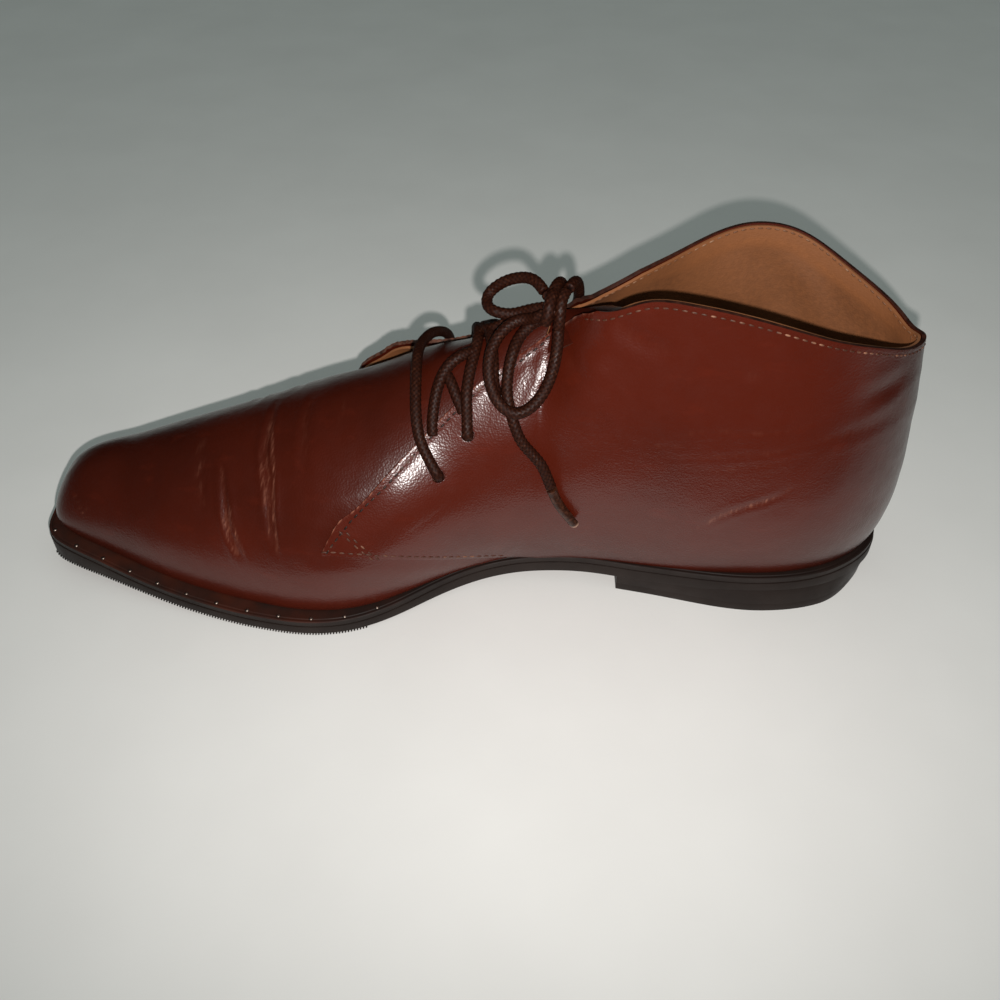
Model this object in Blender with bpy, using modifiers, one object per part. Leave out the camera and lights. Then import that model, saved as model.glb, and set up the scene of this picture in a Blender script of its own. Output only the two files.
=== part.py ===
"""Right ankle boot with a low stacked heel, as separate solids, in metres with +Z up.

The toe points to -X and the medial (inner) side of the foot is -Y. The boot stands on Z = 0: the heel's top
piece and the ball of the sole both rest there. Sizes in this file are millimetres, turned into metres by MM.

The last is described by ribs. Each rib starts on the feather line, where upper and sole meet, and climbs to the
ridge along the top of the forefoot and instep, or to the edge of the collar. Everything that follows the foot
(upper, tongue, insole, midsole, outsole, heel) is worked out from these ribs.
"""
import bmesh
import bpy
import numpy as np
from mathutils import Vector

MM = 0.001
ORIGIN = (1.1, 2.4, 0.0)   # middle of the boot's footprint: the frame's origin, in the sizes below

# Driving dimensions
TOE_X = -137.6            # front of the sole's edge
HEEL_X = 138.2            # back of the sole's edge
OUTSOLE_THICK = 3.3
MIDSOLE_THICK = 1.7       # the ledge round the upper
INSOLE_THICK = 2.0
GAP = 0.3                 # between pieces that touch
WALL = 2.0                # upper: leather and lining
TONGUE_WALL = 1.8
TONGUE_CLEARANCE = 1.3    # to the inside of the upper
TONGUE_EDGE = 0.89        # its edges lie under the facings, at this part of their height
TONGUE_FRONT = -32.0      # ridge position where it starts, under the vamp
TONGUE_BACK = 29.5        # ridge position from where it runs on past the throat
TOE_SPRING = 9.0          # rise of the sole under the toe
FLAT_FRONT = -66.0        # the ball of the sole is flat from here ...
FLAT_BACK = -38.0         # ... to here
BREAST_X = 53.2           # front face of the heel
BREAST_HEIGHT = 6.5       # underside of the outsole above the floor there
SEAT_RISE = 2.2           # further rise to the back of the heel
INSOLE_INSET = WALL + 0.5
LACE_R = 1.7
AGLET_R = 1.5
EYELET_R = 2.1
THROAT_FRONT = -20.0      # ridge position where the throat opens
THROAT_BLEND = 24.0       # length over which it widens to the facings

# Ridge of the forefoot and instep, toe to throat: x, y, z
RIDGE = (
    (-122.6, 3.0, 30.8),
    (-120.5, 2.9, 32.0),
    (-116.5, 2.7, 34.0),
    (-108.0, 2.5, 37.2),
    (-92.0, 2.0, 42.4),
    (-74.0, 1.0, 48.2),
    (-57.0, 0.2, 54.0),
    (-42.0, -0.4, 59.5),
    (-29.0, -0.7, 64.8),
    (-17.0, -1.0, 70.5),
    (-5.0, -1.0, 77.5),
    (8.0, -1.0, 86.0),
    (20.0, -1.0, 93.0),
    (31.5, -1.0, 97.5),
)

# Ribs that climb to the ridge: foot x, foot y, ledge, ridge x, roundness, bulge
MEDIAL_VAMP = (
    (-133.4, -4.5, 3.8, -122.6, 1.00, 2.0),
    (-131.0, -10.3, 4.4, -120.5, 1.00, 2.0),
    (-126.0, -13.9, 5.2, -116.5, 1.00, 1.8),
    (-116.0, -18.2, 5.5, -108.0, 1.00, 1.5),
    (-98.0, -25.8, 5.6, -92.0, 1.00, 1.5),
    (-78.0, -32.4, 5.6, -74.0, 1.00, 1.5),
    (-60.0, -36.9, 5.5, -57.0, 1.00, 2.0),
    (-45.0, -39.2, 5.2, -42.0, 1.00, 2.5),
    (-33.0, -38.2, 4.6, -29.0, 1.00, 3.0),
    (-21.0, -34.2, 3.4, -17.0, 1.00, 4.0),
    (-9.0, -28.0, 2.2, -5.0, 1.00, 6.0),
    (4.0, -22.4, 1.2, 8.0, 0.95, 7.5),
    (14.0, -19.9, 0.8, 20.0, 0.90, 8.0),
    (22.0, -19.0, 0.7, 31.5, 0.80, 7.5),
)
LATERAL_VAMP = (
    (21.0, 33.0, 2.0, 31.5, 0.85, 7.0),
    (11.0, 36.0, 2.4, 20.0, 0.95, 5.0),
    (0.0, 39.4, 3.0, 8.0, 1.00, 4.0),
    (-12.0, 42.4, 3.8, -5.0, 1.00, 3.0),
    (-26.0, 44.2, 4.6, -17.0, 1.00, 2.5),
    (-40.0, 43.8, 5.2, -29.0, 1.00, 2.0),
    (-54.0, 41.8, 5.5, -42.0, 1.00, 2.0),
    (-68.0, 38.6, 5.6, -57.0, 1.00, 1.5),
    (-84.0, 34.0, 5.6, -74.0, 1.00, 1.5),
    (-101.0, 28.4, 5.6, -92.0, 1.00, 1.5),
    (-117.0, 22.8, 5.5, -108.0, 1.00, 1.5),
    (-126.6, 19.2, 5.2, -116.5, 1.00, 1.8),
    (-131.3, 15.8, 4.4, -120.5, 1.00, 2.0),
    (-133.4, 10.3, 3.8, -122.6, 1.00, 2.0),
    (-133.8, 3.0, 3.8, -122.6, 1.00, 2.0),
)
# Ribs that climb to the collar, round the heel: foot x, foot y, ledge, collar x, y, z, roundness, bulge
COLLAR = (
    (30.0, -18.9, 0.8, 40.0, -16.0, 102.5, 0.50, 6.5),
    (41.0, -19.6, 1.1, 50.0, -22.5, 108.0, 0.20, 5.5),
    (56.0, -22.0, 1.7, 62.0, -26.5, 110.0, 0.05, 4.5),
    (72.0, -24.4, 2.2, 76.0, -28.5, 108.0, 0.00, 4.0),
    (88.0, -26.0, 2.6, 90.0, -29.5, 104.5, 0.00, 4.0),
    (103.0, -25.9, 2.8, 103.0, -28.0, 100.0, 0.00, 4.5),
    (116.0, -23.0, 3.0, 115.0, -22.5, 95.0, 0.00, 5.0),
    (126.5, -16.8, 3.0, 126.0, -13.5, 89.0, 0.00, 5.0),
    (133.0, -9.2, 3.0, 132.5, -6.0, 86.5, 0.00, 5.0),
    (135.2, -1.0, 3.0, 134.3, -1.0, 86.0, 0.00, 5.0),
    (133.2, 7.2, 3.0, 133.0, 4.0, 86.5, 0.00, 5.0),
    (127.0, 15.6, 3.0, 129.5, 12.0, 90.0, 0.00, 5.0),
    (116.5, 22.8, 3.0, 118.5, 21.5, 96.0, 0.00, 5.0),
    (103.0, 26.8, 2.9, 105.0, 27.5, 102.5, 0.00, 4.5),
    (88.0, 28.0, 2.7, 91.0, 29.0, 105.0, 0.00, 4.5),
    (72.0, 28.2, 2.4, 79.0, 28.0, 102.5, 0.00, 5.0),
    (56.0, 28.5, 2.0, 67.0, 23.5, 98.5, 0.10, 6.0),
    (41.0, 29.5, 1.8, 55.0, 16.0, 97.0, 0.30, 7.0),
    (30.0, 31.0, 1.8, 43.0, 9.0, 96.5, 0.60, 7.5),
)

# Front edge of the quarters (the facing) in side view, from its lower corner to the collar: x, z
FACING = (
    (-39.0, 30.0),
    (-33.4, 39.5),
    (-21.0, 48.7),
    (-10.0, 59.7),
    (2.0, 70.6),
    (15.0, 81.0),
    (24.5, 87.5),
    (32.5, 93.5),
    (40.0, 101.0),
)
EYELETS = ((-3.9, 51.7), (4.9, 62.9), (13.1, 74.4))      # side view x, z, the same on both sides
# How far the outer side of the throat has sunk in wear: x, drop. It eases in across the ridge and up each rib.
SINKING = (
    (-12.0, 0.0), (-8.0, 0.7), (-4.0, 1.7), (4.0, 4.7), (12.0, 6.7), (20.0, 7.1), (28.0, 6.4), (36.5, 5.8),
    (43.0, 3.2), (55.0, 0.4), (60.0, 0.0),
)
SUNK_ACROSS = (-14.0, 14.0)
SUNK_HEIGHTS = (0.2, 0.6)
TOE_FULLNESS = 3.0        # rise of the toe's top edge, which is squared off
# How far the back of the heel stands out: height, distance
BACK_OUT = (
    (6.0, 1.6), (14.0, 1.4), (26.0, 0.8), (40.0, 0.35), (50.0, 0.6), (58.0, 1.1), (66.0, 2.0), (76.0, 2.2), (87.0, 1.4),
)
# Top of the tongue past the throat: how far its medial edge, middle and lateral edge run on, as dx, dy, dz
TONGUE_TOP = {"medial": (21.0, -4.0, 15.0), "middle": (16.0, -2.0, 3.0), "lateral": (9.0, -2.5, 3.0)}

# Lace routes, chosen by hand: x, y, z along the middle of the lace
BAR_1 = (
    (-4.2, -28.2, 53.6), (-6.6, -26.4, 58.2), (-8.8, -23.6, 62.4), (-10.0, -19.4, 67.4), (-10.4, -13.6, 71.8),
    (-10.6, -7.4, 74.8), (-10.7, -1.0, 76.8), (-10.4, 6.0, 77.2), (-9.4, 12.6, 76.4), (-7.8, 18.6, 74.6),
    (-5.8, 24.0, 71.8), (-4.2, 28.2, 68.2), (-3.4, 31.4, 63.6), (-3.4, 34.2, 58.8), (-3.8, 36.4, 54.6),
)
BAR_2 = (
    (4.9, -23.0, 63.6), (4.8, -21.6, 67.6), (4.6, -18.0, 73.4), (5.4, -12.4, 78.4), (6.6, -7.6, 81.6),
    (7.4, -3.0, 83.4), (7.4, 2.0, 83.2), (7.0, 7.0, 80.8), (6.7, 12.0, 77.8), (6.4, 16.8, 75.2),
    (6.1, 20.8, 72.5), (5.8, 24.6, 68.8), (5.5, 27.7, 65.1), (5.2, 30.2, 61.9),
)
BAR_3 = (
    (13.8, 24.6, 69.6), (13.2, 21.9, 72.6), (12.0, 18.0, 75.6), (9.8, 11.5, 79.2), (8.8, 5.2, 82.6),
    (9.8, 0.2, 85.0), (13.0, -1.8, 87.2), (16.8, -2.2, 89.2), (20.2, -2.2, 90.8), (23.2, -2.2, 92.4),
)
BAR_4 = ((12.5, -16.9, 77.8), (12.2, -14.0, 81.6), (11.9, -9.9, 84.3), (11.4, -5.6, 85.6), (10.8, -1.6, 85.6))
UNDER_A = (
    (-9.4, -18.2, 68.8), (-6.8, -16.6, 69.8), (-4.6, -14.2, 72.0), (-3.4, -11.7, 74.7), (-1.5, -9.2, 77.3),
    (0.8, -7.1, 79.6), (4.0, -6.9, 81.3), (6.9, -7.5, 82.4),
)
UNDER_B = ((1.3, -15.0, 72.8), (0.3, -13.2, 74.4), (-0.8, -11.2, 75.8), (-1.8, -9.7, 76.4))
KNOT_CENTRE = (29.4, -9.0, 98.9)
KNOT_SIZE = (5.2, 4.6, 3.4)                              # half-axes
LOOP_NEAR = (
    (24.8, -10.8, 96.0), (22.4, -8.8, 94.2), (19.2, -8.0, 93.2), (15.8, -9.2, 91.6), (12.6, -12.4, 88.6),
    (11.0, -17.0, 83.9), (11.8, -20.4, 78.8), (14.6, -23.2, 74.8), (18.6, -24.2, 72.8), (22.8, -22.8, 73.8),
    (26.8, -19.8, 77.8), (29.0, -17.4, 83.4), (30.0, -14.8, 88.8), (30.2, -12.8, 93.4),
)
LOOP_TOP = (
    (26.2, -5.6, 100.9), (23.2, -1.4, 102.2), (18.0, 1.8, 100.8), (13.4, 3.0, 98.0), (10.4, 2.4, 95.0),
    (10.4, -1.0, 93.6), (12.8, -3.6, 93.2), (16.4, -4.0, 92.8), (20.4, -4.4, 94.6), (24.2, -5.6, 97.4),
)
END_NEAR = (
    (28.2, -7.6, 94.0), (24.4, -6.2, 91.8), (20.2, -7.6, 88.4), (17.8, -12.2, 85.6), (16.4, -15.8, 80.4),
    (16.3, -18.9, 75.0), (17.8, -21.8, 69.2), (20.4, -24.0, 62.8), (23.3, -24.6, 58.9), (26.3, -25.5, 55.2),
    (28.0, -26.0, 51.4), (29.5, -26.7, 47.4),
)
TIP_NEAR = ((29.65, -26.8, 46.95), (31.4, -27.1, 42.4), (34.2, -27.3, 37.6), (37.0, -27.1, 33.2))
END_FAR = (
    (32.9, -6.0, 102.2), (34.4, -2.0, 101.8), (35.7, 2.4, 99.2), (36.4, 5.8, 95.2), (36.8, 9.6, 91.2),
    (36.8, 14.6, 85.6), (35.8, 19.8, 79.0), (35.2, 24.4, 72.2), (34.4, 28.7, 64.6), (34.1, 32.6, 57.2),
    (34.2, 35.2, 50.3),
)
TIP_FAR = ((34.25, 35.35, 49.8), (34.7, 36.7, 43.1), (35.6, 37.1, 36.0))


def cubic(keys, rows, at, period=None):
    """Smooth curve through the rows at the keys: closed when it has a period, else with free ends."""
    keys, rows, at = np.asarray(keys, float), np.asarray(rows, float), np.atleast_1d(np.asarray(at, float))
    count = len(keys)
    closed = period is not None
    if closed:
        spans = np.diff(np.append(keys, keys[0] + period))
        rise = (np.roll(rows, -1, axis=0) - rows) / spans[:, None]
        at = np.mod(at - keys[0], period) + keys[0]
    else:
        spans = np.diff(keys)
        rise = np.diff(rows, axis=0) / spans[:, None]
    matrix, right = np.zeros((count, count)), np.zeros_like(rows)
    for i in range(count):
        if not closed and i in (0, count - 1):
            inner = 1 if i == 0 else count - 2
            matrix[i, i], matrix[i, inner] = 2, 1
            right[i] = 3 * rise[0 if i == 0 else -1]
            continue
        before, after = spans[i - 1], spans[i]
        matrix[i, i - 1] += after
        matrix[i, i] += 2 * (before + after)
        matrix[i, (i + 1) % count] += before
        right[i] = 3 * (after * rise[i - 1] + before * rise[i])
    slope = np.linalg.solve(matrix, right)
    first = np.clip(np.searchsorted(keys, at, side="right") - 1, 0, len(spans) - 1)
    last = (first + 1) % count
    span = spans[first][:, None]
    t = (at - keys[first])[:, None] / span
    return (
        (1 + 2 * t) * (1 - t) ** 2 * rows[first]
        + t * (1 - t) ** 2 * span * slope[first]
        + t * t * (3 - 2 * t) * rows[last]
        + t * t * (t - 1) * span * slope[last]
    )


def underside(x):
    """Height of the outsole's lower face above the floor: toe spring, flat ball, arch and heel seat."""
    x = np.asarray(x, float)
    toe = np.clip((FLAT_FRONT - x) / (FLAT_FRONT - TOE_X), 0, 1)
    arch = np.clip((x - FLAT_BACK) / (BREAST_X - FLAT_BACK), 0, 1)
    seat = np.clip((x - BREAST_X) / (HEEL_X - BREAST_X), 0, 1)
    return TOE_SPRING * toe**1.4 + BREAST_HEIGHT * arch**2 * (3 - 2 * arch) + SEAT_RISE * seat**1.3


def smoothstep(low, high, value):
    t = np.clip((value - low) / (high - low), 0, 1)
    return t * t * (3 - 2 * t)


def above_sole(lift):
    """A height profile that runs parallel to the sole's underside."""
    return lambda x: underside(x) + lift


MIDSOLE_LOW = OUTSOLE_THICK + GAP
FEATHER = MIDSOLE_LOW + MIDSOLE_THICK + GAP      # lower edge of the upper above the outsole's underside


# Ridge and its slope
RIDGE_X = np.array([row[0] for row in RIDGE])


def ridge(x):
    """Point on the ridge at x, held at its two ends."""
    x = np.clip(x, RIDGE_X[0], RIDGE_X[-1])
    return np.column_stack([x, cubic(RIDGE_X, [row[1:] for row in RIDGE], x)])


def ridge_slope(x):
    step = 0.5
    x = np.clip(x, RIDGE_X[0] + step, RIDGE_X[-1] - step)
    return (ridge(x + step)[:, 2] - ridge(x - step)[:, 2]) / (2 * step)


# All ribs as one closed table: foot x, foot y, ledge, top x, top y, top z, roundness, bulge
def rib_rows():
    rows = [(fx, fy, ledge, *ridge(np.array([rx]))[0], r, b) for fx, fy, ledge, rx, r, b in MEDIAL_VAMP]
    rows += list(COLLAR)
    rows += [(fx, fy, ledge, *ridge(np.array([rx]))[0], r, b) for fx, fy, ledge, rx, r, b in LATERAL_VAMP]
    return np.array(rows, float)


RIB_ROWS = rib_rows()
STEPS = np.linalg.norm(np.roll(RIB_ROWS[:, :2], -1, axis=0) - RIB_ROWS[:, :2], axis=1)
RIB_KEYS = np.concatenate([[0], np.cumsum(STEPS)[:-1]])       # distance along the feather line, mm
GIRTH = float(STEPS.sum())
MEDIAL_THROAT = RIB_KEYS[len(MEDIAL_VAMP) - 1]
LATERAL_THROAT = RIB_KEYS[len(MEDIAL_VAMP) + len(COLLAR)]
LATERAL_TOE = RIB_KEYS[-2]
# Stretches of the feather line that hold the facings, by side
SIDE_PLACES = {
    "medial": (RIB_KEYS[0], RIB_KEYS[len(MEDIAL_VAMP) + 4]),
    "lateral": (RIB_KEYS[len(MEDIAL_VAMP) + 14], LATERAL_TOE),
}


def ribs(places):
    """Rib values and the sole's outward direction at places along the feather line."""
    values = cubic(RIB_KEYS, RIB_ROWS, places, GIRTH)
    near = cubic(RIB_KEYS, RIB_ROWS[:, :2], np.asarray(places) + 0.5, GIRTH)
    near = near - cubic(RIB_KEYS, RIB_ROWS[:, :2], np.asarray(places) - 0.5, GIRTH)
    outward = np.column_stack([near[:, 1], -near[:, 0]])
    outward /= np.linalg.norm(outward, axis=1)[:, None]
    turn = np.mod(places, GIRTH)
    on_ridge = (turn <= MEDIAL_THROAT) | (turn >= LATERAL_THROAT)
    values[on_ridge, 3:6] = ridge(values[on_ridge, 3])
    at_toe = turn >= LATERAL_TOE
    values[at_toe, 3:6] = ridge(RIDGE_X[:1])
    return values, outward


def last_form(places, heights, sunk=True):
    """Points on the outside of the upper: one rib for each place, heights run 0 (feather) to 1 (top).

    heights is one row for all ribs, or a row for each rib. Without sunk the throat is as it was when new, the
    form on which its edges and eyelets were marked out.
    """
    values, outward = ribs(places)
    heights = np.broadcast_to(heights, (len(values), np.shape(heights)[-1]))
    foot, top = values[:, None, :2], values[:, None, 3:6]
    low = underside(values[:, 0])[:, None] + FEATHER
    roundness, bulge = np.clip(values[:, 6:7], 0, 1), values[:, 7:8]
    run = top[..., :2] - foot
    tilt = ridge_slope(values[:, 3])[:, None] * run[..., 0] * roundness
    rounding = 1 - np.cos(np.pi / 2 * heights)
    across = (1 - roundness) * heights + roundness * rounding
    up = (1 - roundness) * heights + roundness * np.sin(np.pi / 2 * heights)
    swell = bulge * 6.75 * heights * (1 - heights) ** 2
    points = np.zeros((*heights.shape, 3))
    points[..., :2] = foot + run * across[..., None] + swell[..., None] * outward[:, None]
    points[..., 2] = low + (top[..., 2] - low - tilt) * up + tilt * roundness * rounding
    if sunk:
        drop = np.interp(points[..., 0], *np.transpose(SINKING))
        drop *= smoothstep(*SUNK_ACROSS, points[..., 1]) * smoothstep(*SUNK_HEIGHTS, heights)
        points[..., 2] -= drop
    square = smoothstep(-112, -123, points[..., 0]) * smoothstep(0.3, 0.9, heights)
    points[..., 2] += TOE_FULLNESS * square
    points[..., 0] += np.interp(points[..., 2], *np.transpose(BACK_OUT)) * smoothstep(104, 131, points[..., 0])
    return points


def place_of_ridge(x, side):
    """Place along the feather line whose rib reaches the ridge at x, on one side of the foot."""
    table = MEDIAL_VAMP if side == "medial" else LATERAL_VAMP[:-1]
    start = 0 if side == "medial" else len(MEDIAL_VAMP) + len(COLLAR)
    places = np.linspace(RIB_KEYS[start], RIB_KEYS[start + len(table) - 1], 400)
    reach = ribs(places)[0][:, 3]
    order = np.argsort(reach)
    return np.interp(x, reach[order], places[order])


def facing_height(places):
    """Height along each rib at which it meets the quarters' front edge, 1 where it doesn't."""
    fine = np.linspace(0, 1, 201)
    points = last_form(places, fine, sunk=False)
    edge_x, edge_z = [row[0] for row in FACING], [row[1] for row in FACING]
    above = points[..., 2] > np.interp(points[..., 0], edge_x, edge_z)
    above &= points[..., 0] < edge_x[-1]
    return np.where(above.any(axis=1), fine[above.argmax(axis=1)], 1.0)


def throat_height(places):
    """Height along each rib at which the throat is cut: a rounded front that widens to the facings."""
    reach = ribs(places)[0][:, 3]
    widen = np.clip((reach - THROAT_FRONT) / THROAT_BLEND, 0, 1)
    facing = facing_height(places)
    return np.where(reach < THROAT_FRONT, 1.0, facing + (1 - facing) * (1 - widen) ** 2)


def spot_on_side(x, z, side):
    """Point and outward normal on the outside of the upper at side-view x, z, on one side of the foot."""
    places, heights = np.linspace(*SIDE_PLACES[side], 500), np.linspace(0, 1, 200)
    marked = last_form(places, heights, sunk=False)
    miss = np.hypot(marked[..., 0] - x, marked[..., 2] - z)[1:-1, 1:-1]
    i, j = np.unravel_index(np.argmin(miss), miss.shape)
    i, j = i + 1, j + 1
    points = last_form(places, heights)
    normal = np.cross(points[i + 1, j] - points[i - 1, j], points[i, j + 1] - points[i, j - 1])
    return points[i, j], normal / np.linalg.norm(normal)


# Blender helpers
def new_collection(name):
    collection = bpy.data.collections.new(name)
    bpy.context.scene.collection.children.link(collection)
    return collection


def material(name, colour, roughness, metallic=0.0):
    made = bpy.data.materials.new(name)
    made.use_nodes = True
    shader = made.node_tree.nodes["Principled BSDF"]
    shader.inputs["Base Color"].default_value = (*colour, 1)
    shader.inputs["Roughness"].default_value = roughness
    shader.inputs["Metallic"].default_value = metallic
    return made


def object_from(bm, name, finish, collection):
    """Turn a bmesh in millimetres into a smooth-shaded object in metres."""
    bmesh.ops.translate(bm, vec=-Vector(ORIGIN), verts=bm.verts)
    bmesh.ops.scale(bm, vec=(MM, MM, MM), verts=bm.verts)
    mesh = bpy.data.meshes.new(name)
    bm.to_mesh(mesh)
    bm.free()
    mesh.shade_smooth()
    mesh.set_sharp_from_angle(angle=np.radians(40))
    mesh.materials.append(finish)
    made = bpy.data.objects.new(name, mesh)
    collection.objects.link(made)
    return made


def skin(points, close_rows=False):
    """Open sheet of quads over a grid of points; equal points are joined."""
    bm = bmesh.new()
    rows, columns = points.shape[:2]
    verts = [[bm.verts.new(points[i, j]) for j in range(columns)] for i in range(rows)]
    for i in range(rows if close_rows else rows - 1):
        after = (i + 1) % rows
        for j in range(columns - 1):
            bm.faces.new((verts[i][j], verts[after][j], verts[after][j + 1], verts[i][j + 1]))
    bmesh.ops.remove_doubles(bm, verts=bm.verts, dist=0.01)
    bmesh.ops.recalc_face_normals(bm, faces=bm.faces)
    return bm


def face_outwards(bm, centre):
    """Turn an open sheet round if it faces the centre."""
    lean = sum((f.calc_center_median() - centre).dot(f.normal) * f.calc_area() for f in bm.faces)
    if lean < 0:
        bmesh.ops.reverse_faces(bm, faces=bm.faces)


def add_wall(made, thickness):
    """Give an open sheet its wall, inwards."""
    wall = made.modifiers.new("wall", "SOLIDIFY")
    wall.thickness = thickness * MM
    wall.offset = -1
    return wall


# Pieces of the sole
OUTLINE_POINTS = 104
BEND_CUTS = np.arange(-126, 132, 12.0)        # x of the cuts that let a plate bend


def sole_outline(inset):
    """Outline of the sole's edge, moved in by inset."""
    values, outward = ribs(np.arange(OUTLINE_POINTS) * GIRTH / OUTLINE_POINTS)
    return values[:, :2] + outward * (values[:, 2:3] - inset)


def feather_outline(inset):
    """Outline of the feather line, moved in by inset."""
    values, outward = ribs(np.arange(OUTLINE_POINTS) * GIRTH / OUTLINE_POINTS)
    return values[:, :2] - outward * inset


def bent_plate(name, outline, low, high, finish, collection, front=None):
    """Flat outline, cut across every few millimetres, then bent between two height profiles.

    With front, only what lies behind that x is kept.
    """
    bm = bmesh.new()
    face = bm.faces.new([bm.verts.new((x, y, 0)) for x, y in outline])
    grown = bmesh.ops.extrude_face_region(bm, geom=[face])
    lifted = [v for v in grown["geom"] if isinstance(v, bmesh.types.BMVert)]
    bmesh.ops.translate(bm, vec=(0, 0, 1), verts=lifted)
    if front is not None:
        geometry = bm.verts[:] + bm.edges[:] + bm.faces[:]
        bmesh.ops.bisect_plane(bm, geom=geometry, plane_co=(front, 0, 0), plane_no=(1, 0, 0), clear_inner=True)
        bmesh.ops.edgenet_fill(bm, edges=[e for e in bm.edges if e.is_boundary])
    for x in BEND_CUTS:
        geometry = bm.verts[:] + bm.edges[:] + bm.faces[:]
        bmesh.ops.bisect_plane(bm, geom=geometry, plane_co=(x, 0, 0), plane_no=(1, 0, 0))
    for v in bm.verts:
        v.co.z = float(high(v.co.x) if v.co.z > 0.5 else low(v.co.x))
    bmesh.ops.recalc_face_normals(bm, faces=bm.faces)
    bmesh.ops.triangulate(bm, faces=bm.faces)
    return object_from(bm, name, finish, collection)


# The upper: one hollow wall
def ridge_stations(front, back):
    """Ridge positions, close together at the toe and further apart behind it."""
    toe = RIDGE_X[0] + np.array([0, 1.1, 2.6, 4.6, 7.2, 10.6, 15.0, 20.5, 27.0])
    rest = np.arange(toe[-1] + 8, RIDGE_X[-1], 6.5)
    stations = np.concatenate([toe, rest, RIDGE_X[-1:]])
    return stations[(stations >= front) & (stations <= back)]


def rib_places():
    """Places of all ribs, once round: medial vamp, heel, lateral vamp and toe."""
    stations = ridge_stations(RIDGE_X[0], RIDGE_X[-1])
    medial = place_of_ridge(stations, "medial")
    lateral = place_of_ridge(stations, "lateral")
    heel = np.linspace(medial[-1], lateral[-1], 46)[1:-1]
    toe = np.linspace(lateral[0], GIRTH, 7)[1:-1]
    return np.concatenate([medial, heel, lateral[::-1], toe])


def build_upper(finish, collection, cutters):
    """Vamp, quarters and collar as one wall, open at collar, throat and underneath."""
    places = rib_places()
    levels = np.array([0, 0.06, 0.13, 0.21, 0.31, 0.42, 0.54, 0.67, 0.8, 0.91, 1.0])
    heights = throat_height(places)[:, None] * levels
    bm = skin(last_form(places, heights), close_rows=True)
    face_outwards(bm, Vector((0, 0, 30)))
    upper = object_from(bm, "upper", finish, collection)
    add_wall(upper, WALL)
    punch = bmesh.new()
    for side in ("medial", "lateral"):
        for x, z in EYELETS:
            spot, normal = spot_on_side(x, z, side)
            turn = Vector(normal).to_track_quat("Z", "Y").to_matrix().to_4x4()
            turn.translation = Vector(spot)
            bmesh.ops.create_cone(
                punch, cap_ends=True, segments=12, radius1=EYELET_R, radius2=EYELET_R, depth=12, matrix=turn
            )
    punch = object_from(punch, "eyelet_punch", finish, cutters)
    punch.hide_render = True
    punch.display_type = "WIRE"
    holes = upper.modifiers.new("eyelets", "BOOLEAN")
    holes.object = punch
    holes.solver = "EXACT"
    return upper


def build_tongue(finish, collection):
    """Tongue under the facings: it follows the last inside the upper and runs on past the throat's top."""
    stations = ridge_stations(TONGUE_FRONT, TONGUE_BACK)
    levels = np.linspace(1.0, 0.0, 6)
    sides = []
    for side in ("medial", "lateral"):
        places = place_of_ridge(stations, side)
        edge = facing_height(places) * TONGUE_EDGE
        heights = 1 - (1 - edge)[:, None] * (1 - levels)
        sides.append(last_form(places, heights))
    grid = np.concatenate([sides[0][:, ::-1], sides[1][:, 1:]], axis=1)
    # run on past the throat
    across = np.linspace(-1, 1, grid.shape[1])
    keys = np.array([-1, 0, 1])
    run_on = cubic(keys, [TONGUE_TOP["medial"], TONGUE_TOP["middle"], TONGUE_TOP["lateral"]], across)
    more = [grid[-1] + run_on * part for part in (0.34, 0.67, 1.0)]
    grid = np.concatenate([grid, np.array(more)], axis=0)
    # move inside the upper's wall
    along = np.gradient(grid, axis=0)
    around = np.gradient(grid, axis=1)
    normal = np.cross(along, around)
    normal /= np.linalg.norm(normal, axis=2)[..., None]
    normal *= np.where(normal[..., 2:3].mean() < 0, -1, 1)
    grid = grid - normal * (WALL + TONGUE_CLEARANCE)
    bm = skin(grid)
    face_outwards(bm, Vector((0, 0, 20)))
    tongue = object_from(bm, "tongue", finish, collection)
    add_wall(tongue, TONGUE_WALL)
    return tongue


# Laces
def smooth_route(points, spacing):
    """Evenly spaced points on a smooth curve through a hand-made route."""
    points = np.array(points, float)
    keys = np.concatenate([[0], np.cumsum(np.linalg.norm(np.diff(points, axis=0), axis=1))])
    fine = cubic(keys, points, np.linspace(0, keys[-1], 400))
    length = np.concatenate([[0], np.cumsum(np.linalg.norm(np.diff(fine, axis=0), axis=1))])
    count = max(int(round(length[-1] / spacing)), 2) + 1
    even = np.linspace(0, length[-1], count)
    return np.column_stack([np.interp(even, length, fine[:, k]) for k in range(3)])


def tube(name, points, radius, finish, collection, spacing):
    """Lace stretch: a bevelled curve with filled caps."""
    route = (smooth_route(points, spacing) - ORIGIN) * MM
    curve = bpy.data.curves.new(name, "CURVE")
    curve.dimensions = "3D"
    curve.bevel_depth = radius * MM
    curve.bevel_resolution = 2
    curve.use_fill_caps = True
    spline = curve.splines.new("POLY")
    spline.points.add(len(route) - 1)
    for point, place in zip(spline.points, route):
        point.co = (*place, 1)
    curve.materials.append(finish)
    made = bpy.data.objects.new(name, curve)
    collection.objects.link(made)
    return made


def meshed(made):
    """Replace a curve object by its mesh, with the caps welded on."""
    bpy.context.view_layer.update()
    mesh = bpy.data.meshes.new_from_object(made.evaluated_get(bpy.context.evaluated_depsgraph_get()))
    bm = bmesh.new()
    bm.from_mesh(mesh)
    bmesh.ops.remove_doubles(bm, verts=bm.verts, dist=0.00001)
    bmesh.ops.recalc_face_normals(bm, faces=bm.faces)
    bm.to_mesh(mesh)
    bm.free()
    name, matrix, collection = made.name, made.matrix_world.copy(), made.users_collection[0]
    curve = made.data
    bpy.data.objects.remove(made)
    bpy.data.curves.remove(curve)
    solid = bpy.data.objects.new(name, mesh)
    solid.matrix_world = matrix
    collection.objects.link(solid)
    return solid


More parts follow.
